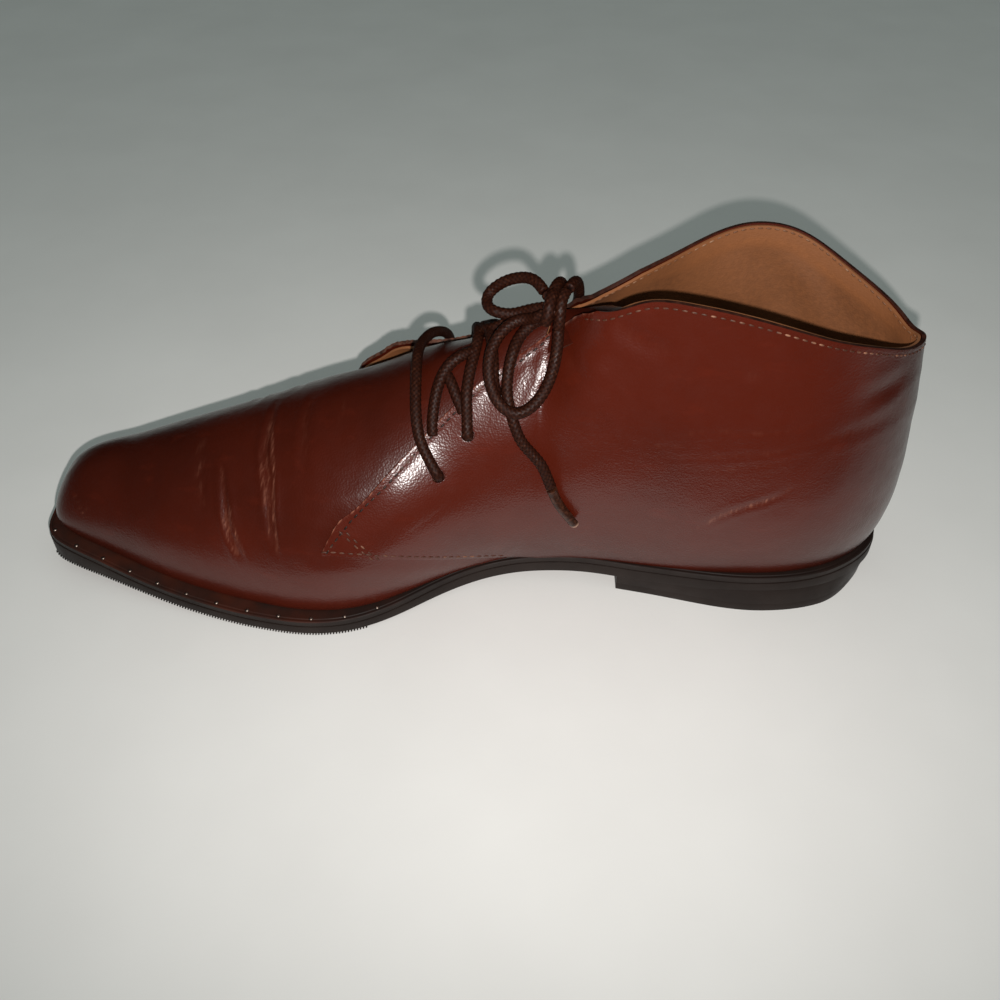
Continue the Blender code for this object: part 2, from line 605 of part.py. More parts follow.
def build_lace_bars(finish, collection, cutters):
    """The crossings over the tongue, joined into one solid."""
    bars = meshed(tube("lace_bars", BAR_1, LACE_R, finish, collection, 4.0))
    for number, route in enumerate((BAR_2, BAR_3, BAR_4, UNDER_A, UNDER_B)):
        other = meshed(tube(f"lace_piece_{number}", route, LACE_R, finish, cutters, 4.0))
        other.hide_render = True
        other.display_type = "WIRE"
        join = bars.modifiers.new(f"join_{number}", "BOOLEAN")
        join.operation = "UNION"
        join.object = other
        join.solver = "EXACT"
    return bars


def build_knot(finish, collection):
    """The bow's knot, a rounded lump about three laces across."""
    bm = bmesh.new()
    bmesh.ops.create_uvsphere(bm, u_segments=12, v_segments=8, radius=1)
    bmesh.ops.scale(bm, vec=KNOT_SIZE, verts=bm.verts)
    bmesh.ops.translate(bm, vec=KNOT_CENTRE, verts=bm.verts)
    return object_from(bm, "lace_knot", finish, collection)


def main():
    for old in list(bpy.data.objects):
        bpy.data.objects.remove(old, do_unlink=True)
    boot = new_collection("ankle_boot")
    cutters = new_collection("cutters")
    cognac = material("cognac_leather", (0.115, 0.016, 0.008), 0.25)
    sole_black = material("sole_black", (0.020, 0.016, 0.013), 0.45)
    sock_tan = material("tan_leather", (0.42, 0.20, 0.085), 0.6)
    lace_brown = material("lace_brown", (0.055, 0.018, 0.010), 0.8)
    film = material("aglet_film", (0.10, 0.05, 0.035), 0.2)

    bent_plate("outsole", sole_outline(0), underside, above_sole(OUTSOLE_THICK), sole_black, boot)
    bent_plate(
        "midsole", sole_outline(0.3), above_sole(MIDSOLE_LOW), above_sole(MIDSOLE_LOW + MIDSOLE_THICK),
        sole_black, boot,
    )
    bent_plate(
        "insole", feather_outline(INSOLE_INSET), above_sole(FEATHER), above_sole(FEATHER + INSOLE_THICK),
        sock_tan, boot,
    )
    bent_plate("heel", sole_outline(0.4), lambda x: 0.0, above_sole(-GAP), sole_black, boot, front=BREAST_X)
    build_upper(cognac, boot, cutters)
    build_tongue(cognac, boot)
    build_lace_bars(lace_brown, boot, cutters)
    build_knot(lace_brown, boot)
    for name, route, radius, finish in (
        ("lace_loop_near", LOOP_NEAR, LACE_R, lace_brown),
        ("lace_loop_top", LOOP_TOP, LACE_R, lace_brown),
        ("lace_end_near", END_NEAR, LACE_R, lace_brown),
        ("lace_end_far", END_FAR, LACE_R, lace_brown),
        ("lace_tip_near", TIP_NEAR, AGLET_R, film),
        ("lace_tip_far", TIP_FAR, AGLET_R, film),
    ):
        tube(name, route, radius, finish, boot, 5.0)


main()
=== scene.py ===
import bmesh
import bpy
import numpy as np
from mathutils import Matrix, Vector, noise
from mathutils.bvhtree import BVHTree


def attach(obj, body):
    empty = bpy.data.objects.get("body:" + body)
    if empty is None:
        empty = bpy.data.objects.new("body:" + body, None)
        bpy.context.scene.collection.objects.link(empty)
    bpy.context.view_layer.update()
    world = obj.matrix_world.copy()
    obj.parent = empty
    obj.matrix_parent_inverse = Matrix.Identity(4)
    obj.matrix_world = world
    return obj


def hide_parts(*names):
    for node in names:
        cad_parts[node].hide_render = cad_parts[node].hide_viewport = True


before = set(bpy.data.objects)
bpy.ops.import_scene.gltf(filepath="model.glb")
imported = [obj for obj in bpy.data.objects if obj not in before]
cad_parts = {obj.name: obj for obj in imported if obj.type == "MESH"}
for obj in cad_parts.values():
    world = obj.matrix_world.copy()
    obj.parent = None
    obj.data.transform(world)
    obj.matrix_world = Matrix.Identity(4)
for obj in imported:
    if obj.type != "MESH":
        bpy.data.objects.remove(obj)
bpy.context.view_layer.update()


# --------------------------------------------------------------------------------------------------
# The room. A pale matte floor with the boot standing on it, in a dim, slightly green light from all
# round. One small lamp just under the lens lights the boot, and one at the same place lights only
# the floor. Sizes in this file are millimetres on the last, unless they say otherwise.
MM = 0.001
ORIGIN = np.array((1.1, 2.4, 0.0))        # middle of the boot's footprint
LENS = 36.1
SENSOR = 36.0
EYE = (18.8, -250.1, 243.5)
EYE_TURN = (48.0, 0.0, 1.147)             # degrees
LAMP = (25, -259, 232)
LAMP_SPREAD = 177                         # degrees
LAMP_SIZE = 2.5
LAMP_COLOUR = (1.0, 0.965, 0.935)
BOOT_WATTS, BOOT_AIM = 4.6, (-90, 900, 20)
FLOOR_WATTS, FLOOR_AIM = 6.15, (25, 900, 232)
ROOM_COLOUR = (0.86, 1.0, 0.96, 1)
ROOM_STRENGTH = 0.285
PAINT_LOW = (0.715, 0.70, 0.685)
PAINT_HIGH = (0.75, 0.735, 0.72)
# The painted sheet under the boot, and the floor round it, in metres
SHEET = ((-0.9, -0.088), (0.30, -0.088), (0.30, 0.6), (-0.9, 0.6))
BEYOND = ((-6.0, -6.0), (6.0, -6.0), (6.0, 6.0), (-6.0, 6.0))


def in_frame(points):
    """Places in the frame, in metres, of places measured on the last in millimetres."""
    return (np.asarray(points, float) - ORIGIN) * MM


def in_scene(name, data):
    """New object in the scene."""
    made = bpy.data.objects.new(name, data)
    bpy.context.collection.objects.link(made)
    return made


camera = bpy.data.cameras.new("camera")
camera.lens = LENS
camera.sensor_width = SENSOR
camera.clip_start = 0.01
camera.dof.use_dof = False
eye = in_scene("camera", camera)
eye.location = in_frame(EYE)
eye.rotation_euler = np.radians(EYE_TURN)
bpy.context.scene.camera = eye

lamps = []
for name, watts, aim in (("key", BOOT_WATTS, BOOT_AIM), ("floor_key", FLOOR_WATTS, FLOOR_AIM)):
    light = bpy.data.lights.new(name, "SPOT")
    light.energy = watts
    light.color = LAMP_COLOUR
    light.spot_size = np.radians(LAMP_SPREAD)
    light.spot_blend = 1.0
    light.shadow_soft_size = LAMP_SIZE * MM
    lamp = in_scene(name, light)
    lamp.location = in_frame(LAMP)
    ray = Vector(in_frame(aim) - in_frame(LAMP))
    lamp.rotation_euler = ray.to_track_quat("-Z", "Y").to_euler()
    lamps.append(lamp)

world = bpy.data.worlds.new("room")
world.use_nodes = True
glow = world.node_tree.nodes["Background"].inputs
glow["Color"].default_value = ROOM_COLOUR
glow["Strength"].default_value = ROOM_STRENGTH
world.cycles_visibility.glossy = False
bpy.context.scene.world = world
bpy.context.scene.view_settings.view_transform = "Standard"


def new_material(name, roughness, **sockets):
    """Principled material with values on its shader's sockets, and its node tree."""
    made = bpy.data.materials.new(name)
    made.use_nodes = True
    shader = made.node_tree.nodes["Principled BSDF"]
    shader.inputs["Roughness"].default_value = roughness
    for socket, value in sockets.items():
        title = socket.replace("_", " ").title().replace("Ior", "IOR")
        shader.inputs[title].default_value = value
    return made, made.node_tree


def node(tree, kind, settings=None, **inputs):
    """Node of a kind with its settings, its inputs set to values or linked from sockets."""
    made = tree.nodes.new(kind)
    for setting, value in (settings or {}).items():
        setattr(made, setting, value)
    for name, value in inputs.items():
        by_number = name[0] == "i" and name[1:].isdigit()
        socket = made.inputs[int(name[1:]) if by_number else name]
        if isinstance(value, bpy.types.NodeSocket):
            tree.links.new(value, socket)
        else:
            socket.default_value = value
    return made


def object_place(tree):
    return node(tree, "ShaderNodeTexCoord").outputs["Object"]


def attribute_of(tree, name):
    return node(tree, "ShaderNodeAttribute", {"attribute_name": name}).outputs["Fac"]


def maths(tree, operation, *values, clamp=False):
    """Result of a sum on numbers or sockets."""
    settings = {"operation": operation, "use_clamp": clamp}
    inputs = {f"i{index}": value for index, value in enumerate(values)}
    return node(tree, "ShaderNodeMath", settings, **inputs).outputs[0]


def noise_of(tree, size, detail=3.0, roughness=0.55, stretch=None, distortion=0.0):
    """Noise with features about size millimetres across, optionally stretched along the axes."""
    place = object_place(tree)
    if stretch:
        mapping = node(tree, "ShaderNodeMapping", Vector=place, Scale=stretch)
        place = mapping.outputs["Vector"]
    made = node(tree, "ShaderNodeTexNoise", Vector=place, Scale=1000 / size, Detail=detail,
                Roughness=roughness, Distortion=distortion)
    return made.outputs["Fac"]


def ramp_of(tree, value, low, high, to_low=0.0, to_high=1.0):
    """A value mapped from one range to another, clamped."""
    made = node(tree, "ShaderNodeMapRange", {"clamp": True}, Value=value)
    sockets = ("From Min", "From Max", "To Min", "To Max")
    for socket, number in zip(sockets, (low, high, to_low, to_high)):
        made.inputs[socket].default_value = number
    return made.outputs["Result"]


def mixed(tree, factor, first, second):
    """Colour mixed from two colours or colour sockets."""
    made = node(tree, "ShaderNodeMix", {"data_type": "RGBA"}, i0=factor)
    for index, colour in ((6, first), (7, second)):
        if isinstance(colour, bpy.types.NodeSocket):
            tree.links.new(colour, made.inputs[index])
        else:
            made.inputs[index].default_value = (*colour, 1)
    return made.outputs[2]


def finished(made, colour, layers, roughness=None):
    """Material given its colour and its bumps: layers of a height socket and a depth in mm."""
    tree = made.node_tree
    shader = tree.nodes["Principled BSDF"].inputs
    tree.links.new(colour, shader["Base Color"])
    if roughness is not None:
        tree.links.new(roughness, shader["Roughness"])
    normal = None
    for height, depth in layers:
        bump = node(tree, "ShaderNodeBump", Height=height, Distance=depth * MM, Strength=1.0)
        if normal is not None:
            tree.links.new(normal, bump.inputs["Normal"])
        normal = bump.outputs["Normal"]
    tree.links.new(normal, shader["Normal"])
    tree.links.new(normal, shader["Coat Normal"])
    return made


def mesh_of(bm, name):
    """Mesh from a bmesh, which is used up."""
    mesh = bpy.data.meshes.new(name)
    bm.to_mesh(mesh)
    bm.free()
    return mesh


floor_paint, tree = new_material("floor_paint", 0.55)
tone = mixed(tree, ramp_of(tree, noise_of(tree, 60), 0.3, 0.7), PAINT_LOW, PAINT_HIGH)
finished(floor_paint, tone, [(noise_of(tree, 2.0), 0.02)])
# Only the sheet under the boot shows in its gloss
floors = []
for name, loops in (("floor_sheet", (SHEET,)), ("floor_beyond", (BEYOND, SHEET))):
    ground = bmesh.new()
    rings = [[ground.verts.new((x, y, 0.0)) for x, y in loop] for loop in loops]
    if len(rings) == 1:
        ground.faces.new(rings[0])
    else:
        outer, inner = rings
        for k in range(4):
            j = (k + 1) % 4
            ground.faces.new((outer[k], outer[j], inner[j], inner[k]))
    floor = in_scene(name, mesh_of(ground, name))
    floor.data.materials.append(floor_paint)
    floor.visible_glossy = name == "floor_sheet"
    floors.append(floor)
# The first lamp lights only the boot, and the second only the floor
for lamp, state in zip(lamps, ("EXCLUDE", "INCLUDE")):
    linked = bpy.data.collections.new(lamp.name + "_floor")
    for floor in floors:
        linked.objects.link(floor)
    for row in linked.collection_objects:
        row.light_linking.link_state = state
    lamp.light_linking.receiver_collection = linked


# --------------------------------------------------------------------------------------------------
# The last and the insole. The last gives every piece its shape. It is described by ribs that climb
# from the feather line, where upper and sole meet, to the ridge along the top of the foot or to the
# collar. The insole is a 2 mm board with a tan leather sock glued over it.
TOE_X = -137.6            # front of the sole's edge
HEEL_X = 138.2            # back of the sole's edge
BREAST_X = 52.4           # front face of the heel
FLAT_FRONT = -66.0        # the ball of the sole is flat from here ...
FLAT_BACK = -38.0         # ... to here
TOE_SPRING = 9.0
BREAST_HEIGHT = 6.5
SEAT_RISE = 2.2
OUTSOLE_THICK = 3.3
MIDSOLE_THICK = 1.7
INSOLE_THICK = 2.0
GAP = 0.3                 # between the layers of the sole
MIDSOLE_LOW = OUTSOLE_THICK + GAP
FEATHER = MIDSOLE_LOW + MIDSOLE_THICK + GAP
OUTLINE_POINTS = 420
SOCK_IN = 2.5             # the sock ends this far inside the feather line
SOCK_TAN = (0.18, 0.063, 0.020)
BOARD_ROUND = 0.6         # rounding of the insole board's rims
CUTS = (-135.3, 139.0, 3.0)   # flat pieces are cut across from here to here, this far apart
SWELL = 6.75              # brings the curve of a rib's bulge to 1 at its highest

# A pair of numbers named _X, _Y, _Z or _HEIGHTS is the stretch over which a change eases in or
# out that way, and one named _FADE the same as a distance from an edge.
# How far the outer side of the throat has sunk in wear: x, drop
SINKING = (
    (-12.0, 0.0), (-8.0, 0.7), (-4.0, 1.7), (4.0, 4.7), (12.0, 6.7), (20.0, 7.1), (28.0, 6.4),
    (36.5, 5.8), (43.0, 3.2), (55.0, 0.4), (60.0, 0.0),
)
SUNK_Y, SUNK_HEIGHTS = (-14.0, 14.0), (0.2, 0.6)
# Where the leather has stretched over the inner side of the arch: middle x, z, reach, height
STRETCHED = (-20.0, 37.0, 14.0, 3.4)
STRETCHED_OUT = (0.0, -0.88, 0.47)
STRETCHED_Y = (0.0, -16.0)
TOE_FULLNESS = (-1.0, 1.9)    # how far forward and up the toe's top edge is squared off
TOE_FULL_X, TOE_FULL_HEIGHTS = (-106.0, -124.0), (0.3, 0.9)
# How far the back of the heel stands out: height, distance
BACK_OUT = (
    (6.0, 2.0), (14.0, 1.6), (26.0, 0.8), (40.0, 0.35), (50.0, 0.6), (58.0, 1.1), (66.0, 2.0),
    (76.0, 2.2), (87.0, 1.2),
)
BACK_OUT_X = (104.0, 131.0)
LEDGE_OUT = 1.0           # how much further the sole reaches at the heel
LEDGE_OUT_X = (108.0, 138.0)
SEAT_OUT = 0.9            # and on the inner side of the heel seat
SEAT_OUT_X, SEAT_OUT_Y = (60.0, 96.0), (4.0, -14.0)

# Ridge of the forefoot and instep, toe to throat: x, y, z
RIDGE = (
    (-122.6, 3.0, 30.8), (-120.5, 2.9, 32.0), (-116.5, 2.7, 34.0), (-108.0, 2.5, 37.2),
    (-92.0, 2.0, 42.4), (-74.0, 1.0, 48.2), (-57.0, 0.2, 54.0), (-42.0, -0.4, 59.5),
    (-29.0, -0.7, 64.8), (-17.0, -1.0, 70.5), (-5.0, -1.0, 77.5), (8.0, -1.0, 86.0),
    (20.0, -1.0, 93.0), (31.5, -1.0, 97.5),
)
# Ribs that climb to the ridge: foot x, foot y, ledge, ridge x, roundness, bulge
MEDIAL_VAMP = (
    (-133.4, -4.5, 3.8, -122.6, 1.00, 2.0), (-131.0, -10.3, 5.3, -120.5, 1.00, 2.0),
    (-126.0, -13.9, 5.5, -116.5, 1.00, 1.8), (-116.0, -18.2, 5.5, -108.0, 1.00, 1.5),
    (-98.0, -25.8, 5.6, -92.0, 1.00, 1.5), (-78.0, -32.4, 5.6, -74.0, 1.00, 1.5),
    (-60.0, -36.9, 5.5, -57.0, 1.00, 2.0), (-45.0, -39.2, 5.2, -42.0, 1.00, 2.5),
    (-33.0, -38.2, 4.6, -29.0, 1.00, 3.0), (-21.0, -34.2, 3.4, -17.0, 1.00, 4.0),
    (-9.0, -28.0, 2.2, -5.0, 1.00, 6.0), (4.0, -22.4, 1.2, 8.0, 0.95, 7.5),
    (14.0, -19.9, 0.8, 20.0, 0.90, 8.0), (22.0, -19.0, 0.7, 31.5, 0.80, 7.5),
)
LATERAL_VAMP = (
    (21.0, 33.0, 2.0, 31.5, 0.85, 7.0), (11.0, 36.0, 2.4, 20.0, 0.95, 5.0),
    (0.0, 39.4, 3.0, 8.0, 1.00, 4.0), (-12.0, 42.4, 3.8, -5.0, 1.00, 3.0),
    (-26.0, 44.2, 4.6, -17.0, 1.00, 2.5), (-40.0, 43.8, 5.2, -29.0, 1.00, 2.0),
    (-54.0, 41.8, 5.5, -42.0, 1.00, 2.0), (-68.0, 38.6, 5.6, -57.0, 1.00, 1.5),
    (-84.0, 34.0, 5.6, -74.0, 1.00, 1.5), (-101.0, 28.4, 5.6, -92.0, 1.00, 1.5),
    (-117.0, 22.8, 5.5, -108.0, 1.00, 1.5), (-126.6, 19.2, 5.2, -116.5, 1.00, 1.8),
    (-131.3, 15.8, 4.4, -120.5, 1.00, 2.0), (-133.4, 10.3, 3.8, -122.6, 1.00, 2.0),
    (-133.8, 3.0, 3.8, -122.6, 1.00, 2.0),
)
# Ribs that climb to the collar, round the heel: foot x, foot y, ledge, collar x, y, z, roundness,
# bulge
COLLAR = (
    (30.0, -18.9, 0.8, 40.0, -16.0, 102.5, 0.50, 6.5),
    (41.0, -19.6, 1.1, 50.0, -22.5, 108.0, 0.20, 5.5),
    (56.0, -22.0, 1.7, 62.0, -26.5, 110.0, 0.05, 4.5),
    (72.0, -24.4, 2.2, 76.0, -28.5, 108.0, 0.00, 4.0),
    (88.0, -26.0, 2.6, 90.0, -29.5, 104.5, 0.00, 4.0),
    (103.0, -25.9, 2.8, 103.0, -28.0, 100.0, 0.00, 4.5),
    (116.0, -23.0, 3.0, 115.0, -22.5, 95.0, 0.00, 5.0),
    (126.5, -16.8, 3.0, 126.0, -13.5, 89.0, 0.00, 5.0),
    (133.0, -9.2, 3.0, 132.5, -6.0, 86.5, 0.00, 5.0),
    (135.2, -1.0, 3.0, 134.3, -1.0, 86.0, 0.00, 5.0),
    (133.2, 7.2, 3.0, 133.0, 4.0, 85.2, 0.00, 5.0),
    (127.0, 15.6, 3.0, 129.5, 12.0, 87.6, 0.00, 5.0),
    (116.5, 22.8, 3.0, 118.5, 21.5, 94.4, 0.00, 5.0),
    (103.0, 26.8, 2.9, 105.0, 27.5, 102.3, 0.00, 4.5),
    (88.0, 28.0, 2.7, 91.0, 29.0, 105.0, 0.00, 4.5),
    (72.0, 28.2, 2.4, 79.0, 28.0, 102.5, 0.00, 5.0),
    (56.0, 28.5, 2.0, 67.0, 23.5, 98.5, 0.10, 6.0),
    (41.0, 29.5, 1.8, 55.0, 16.0, 97.0, 0.30, 7.0),
    (30.0, 31.0, 1.8, 43.0, 9.0, 96.5, 0.60, 7.5),
)


def cubic(keys, rows, at, period=None):
    """Smooth curve through the rows at the keys: closed when it has a period, else open."""
    keys, rows, at = (np.asarray(values, float) for values in (keys, rows, at))
    at = np.atleast_1d(at)
    count = len(keys)
    closed = period is not None
    if closed:
        spans = np.diff(np.append(keys, keys[0] + period))
        rise = (np.roll(rows, -1, axis=0) - rows) / spans[:, None]
        at = np.mod(at - keys[0], period) + keys[0]
    else:
        spans = np.diff(keys)
        rise = np.diff(rows, axis=0) / spans[:, None]
    matrix, right = np.zeros((count, count)), np.zeros_like(rows)
    for i in range(count):
        if not closed and i in (0, count - 1):
            inner = 1 if i == 0 else count - 2
            matrix[i, i], matrix[i, inner] = 2, 1
            right[i] = 3 * rise[0 if i == 0 else -1]
            continue
        before, after = spans[i - 1], spans[i]
        matrix[i, i - 1] += after
        matrix[i, i] += 2 * (before + after)
        matrix[i, (i + 1) % count] += before
        right[i] = 3 * (after * rise[i - 1] + before * rise[i])
    slope = np.linalg.solve(matrix, right)
    first = np.clip(np.searchsorted(keys, at, side="right") - 1, 0, len(spans) - 1)
    last = (first + 1) % count
    span = spans[first][:, None]
    t = (at - keys[first])[:, None] / span
    return (
        (1 + 2 * t) * (1 - t) ** 2 * rows[first]
        + t * (1 - t) ** 2 * span * slope[first]
        + t * t * (3 - 2 * t) * rows[last]
        + t * t * (t - 1) * span * slope[last]
    )


def underside(x):
    """Height of the outsole's lower face over the floor: toe spring, flat ball, arch, heel seat."""
    x = np.asarray(x, float)
    toe = np.clip((FLAT_FRONT - x) / (FLAT_FRONT - TOE_X), 0, 1)
    arch = np.clip((x - FLAT_BACK) / (BREAST_X - FLAT_BACK), 0, 1)
    seat = np.clip((x - BREAST_X) / (HEEL_X - BREAST_X), 0, 1)
    return TOE_SPRING * toe**1.4 + BREAST_HEIGHT * arch**2 * (3 - 2 * arch) + SEAT_RISE * seat**1.3


def unit(vectors):
    """Vectors made one long."""
    return vectors / np.linalg.norm(vectors, axis=-1, keepdims=True)


def run_of(points):
    """Distance run along a line of points, at each of them."""
    return np.concatenate([[0], np.cumsum(np.linalg.norm(np.diff(points, axis=0), axis=1))])


def smoothstep(low, high, value):
    t = np.clip((value - low) / (high - low), 0, 1)
    return t * t * (3 - 2 * t)


def above_sole(lift):
    """A height profile that runs parallel to the sole's underside."""
    return lambda x: underside(x) + lift


RIDGE_X = np.array([row[0] for row in RIDGE])


def ridge(x):
    """Point on the ridge at x, held at its two ends."""
    x = np.clip(x, RIDGE_X[0], RIDGE_X[-1])
    return np.column_stack([x, cubic(RIDGE_X, [row[1:] for row in RIDGE], x)])


def ridge_slope(x):
    step = 0.5
    x = np.clip(x, RIDGE_X[0] + step, RIDGE_X[-1] - step)
    return (ridge(x + step)[:, 2] - ridge(x - step)[:, 2]) / (2 * step)


def rib_rows():
    """All ribs as one closed table: foot x, foot y, ledge, top x, y, z, roundness, bulge."""
    medial, lateral = (
        [(x, y, ledge, *ridge(np.array([top]))[0], *form) for x, y, ledge, top, *form in table]
        for table in (MEDIAL_VAMP, LATERAL_VAMP))
    return np.array([*medial, *COLLAR, *lateral], float)


RIB_ROWS = rib_rows()
STEPS = np.linalg.norm(np.roll(RIB_ROWS[:, :2], -1, axis=0) - RIB_ROWS[:, :2], axis=1)
RIB_KEYS = np.concatenate([[0], np.cumsum(STEPS)[:-1]])       # distance along the feather line, mm
GIRTH = float(STEPS.sum())
MEDIAL_THROAT = RIB_KEYS[len(MEDIAL_VAMP) - 1]
LATERAL_THROAT = RIB_KEYS[len(MEDIAL_VAMP) + len(COLLAR)]
LATERAL_TOE = RIB_KEYS[-2]


def ribs(places):
    """Rib values and the sole's outward direction at places along the feather line."""
    values = cubic(RIB_KEYS, RIB_ROWS, places, GIRTH)
    before, after = (cubic(RIB_KEYS, RIB_ROWS[:, :2], np.asarray(places) + step, GIRTH)
                     for step in (-0.5, 0.5))
    ahead = after - before
    outward = unit(np.column_stack([ahead[:, 1], -ahead[:, 0]]))
    turn = np.mod(places, GIRTH)
    on_ridge = (turn <= MEDIAL_THROAT) | (turn >= LATERAL_THROAT)
    values[on_ridge, 3:6] = ridge(values[on_ridge, 3])
    at_toe = turn >= LATERAL_TOE
    values[at_toe, 3:6] = ridge(RIDGE_X[:1])
    return values, outward


def last_form(places, heights, worn=True):
    """Points on the outside of the upper: one rib for each place, heights 0 (feather) to 1 (top).

    Without worn it is the form of the new boot, on which edges and lace holes were marked out.
    """
    values, outward = ribs(places)
    heights = np.broadcast_to(heights, (len(values), np.shape(heights)[-1]))
    foot, top = values[:, None, :2], values[:, None, 3:6]
    low = underside(values[:, 0])[:, None] + FEATHER
    roundness, bulge = np.clip(values[:, 6:7], 0, 1), values[:, 7:8]
    run = top[..., :2] - foot
    tilt = ridge_slope(values[:, 3])[:, None] * run[..., 0] * roundness
    rounding = 1 - np.cos(np.pi / 2 * heights)
    across = (1 - roundness) * heights + roundness * rounding
    up = (1 - roundness) * heights + roundness * np.sin(np.pi / 2 * heights)
    swell = bulge * SWELL * heights * (1 - heights) ** 2
    points = np.zeros((*heights.shape, 3))
    points[..., :2] = foot + run * across[..., None] + swell[..., None] * outward[:, None]
    points[..., 2] = low + (top[..., 2] - low - tilt) * up + tilt * roundness * rounding
    if worn:
        drop = np.interp(points[..., 0], *np.transpose(SINKING))
        drop *= smoothstep(*SUNK_Y, points[..., 1]) * smoothstep(*SUNK_HEIGHTS, heights)
        middle_x, middle_z, reach, rise = STRETCHED
        gap = (points[..., 0] - middle_x) ** 2 + (points[..., 2] - middle_z) ** 2
        rise = rise * np.exp(-gap / (2 * reach**2)) * smoothstep(*STRETCHED_Y, points[..., 1])
        points += rise[..., None] * np.array(STRETCHED_OUT)
        square = smoothstep(*TOE_FULL_HEIGHTS, heights) * smoothstep(*TOE_FULL_X, points[..., 0])
        drop = drop - TOE_FULLNESS[1] * square
        points[..., 0] += TOE_FULLNESS[0] * square
        out = np.interp(points[..., 2], *np.transpose(BACK_OUT))
        points[..., 0] += out * smoothstep(*BACK_OUT_X, points[..., 0])
        points[..., 2] -= drop
    return points


def piece(name, mesh, cad_node, slot, *finishes):
    """Object for a mesh that is already in the frame, riding on the boot in place of a CAD node."""
    for finish in finishes:
        mesh.materials.append(finish)
    made = in_scene(name, mesh)
    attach(made, "root")
    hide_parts(cad_node)
    return made


def to_frame(bm, name, sharp=40):
    """Mesh in the frame from a bmesh in millimetres on the last."""
    bmesh.ops.translate(bm, vec=-Vector(ORIGIN), verts=bm.verts)
    bmesh.ops.scale(bm, vec=(MM, MM, MM), verts=bm.verts)
    mesh = mesh_of(bm, name)
    mesh.shade_smooth()
    mesh.set_sharp_from_angle(angle=np.radians(sharp))
    return mesh


def outline(inset, count=OUTLINE_POINTS):
    """Outline of the sole's edge, moved in by inset."""
    values, outward = ribs(np.arange(count) * GIRTH / count)
    edge = values[:, :2] + outward * (values[:, 2:3] - inset)
    seat_out = SEAT_OUT * smoothstep(*SEAT_OUT_X, edge[:, 0])
    edge[:, 1] -= seat_out * smoothstep(*SEAT_OUT_Y, edge[:, 1])
    edge[:, 0] += LEDGE_OUT * smoothstep(*LEDGE_OUT_X, edge[:, 0])
    return edge


def plate(name, edge, low, high, rounding, front=None):
    """Outline cut across, bent between two height profiles, with rounded rims."""
    bm = bmesh.new()

    def cut(x, clear=False):
        geometry = bm.verts[:] + bm.edges[:] + bm.faces[:]
        bmesh.ops.bisect_plane(bm, geom=geometry, plane_co=(x, 0, 0), plane_no=(1, 0, 0),
                               clear_inner=clear)

    face = bm.faces.new([bm.verts.new((x, y, 0)) for x, y in edge])
    grown = bmesh.ops.extrude_face_region(bm, geom=[face])
    lifted = [v for v in grown["geom"] if isinstance(v, bmesh.types.BMVert)]
    bmesh.ops.translate(bm, vec=(0, 0, 1), verts=lifted)
    if front is not None:
        cut(front, clear=True)
        bmesh.ops.edgenet_fill(bm, edges=[e for e in bm.edges if e.is_boundary])
    for x in np.arange(*CUTS):
        cut(x)
    for v in bm.verts:
        v.co.z = float(high(v.co.x) if v.co.z > 0.5 else low(v.co.x))
    bmesh.ops.recalc_face_normals(bm, faces=bm.faces)
    rims = [e for e in bm.edges if e.calc_face_angle(0) > 1.0]
    bmesh.ops.bevel(bm, geom=rims, offset=rounding, segments=3, profile=0.5, affect="EDGES",
                    clamp_overlap=True)
    return to_frame(bm, name, 50)


def tan_leather(name, tint):
    """Undyed lining leather: matte, mottled, with fine wrinkles and a soft nap."""
    made, tree = new_material(name, 0.72)
    mottle = ramp_of(tree, noise_of(tree, 22, 4), 0.32, 0.70)
    flecks = ramp_of(tree, noise_of(tree, 1.6, 3), 0.40, 0.75)
    dark, light, rubbed = (tuple(share * c for c in tint) for share in (0.86, 1.14, 1.5))
    base = mixed(tree, mottle, dark, tint)
    base = mixed(tree, attribute_of(tree, "band"), base, rubbed)
    pores = node(tree, "ShaderNodeTexVoronoi", Vector=object_place(tree), Scale=1500.0)
    return finished(made, mixed(tree, flecks, base, light), [
        (noise_of(tree, 9, 3, 0.5, (1.0, 1.0, 0.45)), 0.22),
        (pores.outputs["Distance"], 0.05),
        (noise_of(tree, 0.5, 2), 0.03),
    ])


values, outward = ribs(np.arange(OUTLINE_POINTS) * GIRTH / OUTLINE_POINTS)
board = plate("insole_board", values[:, :2] - outward * SOCK_IN, above_sole(FEATHER),
              above_sole(FEATHER + INSOLE_THICK), BOARD_ROUND)
piece("insole_board", board, "insole", "sock_leather", tan_leather("sock_leather", SOCK_TAN))


# --------------------------------------------------------------------------------------------------
# The vamp and tongue. One piece of burnished cognac calf leather, 1.2 mm thick, drawn over the last
# from the toe to the throat and running on under the laces as the tongue. The flexing of the foot
# has left creases across it.
LEATHER = 1.2
CUT_ROUND = 0.35          # rounding of the cut edges
COGNAC = (0.070, 0.0078, 0.0026)
COGNAC_DARK = (0.026, 0.0040, 0.0017)
# Pink of scuffed leather, also used for a painted highlight along the inner facing's edge
SCUFF_AND_HIGHLIGHT_PINK = (0.24, 0.085, 0.052)
INK, INK_THIN = (0.018, 0.0050, 0.0026), (0.055, 0.0150, 0.0075)
INK_WORN, BARE_EDGE_AND_HIGHLIGHT = (0.030, 0.009, 0.005), (0.13, 0.050, 0.030)
TONGUE_BACK = 29.5
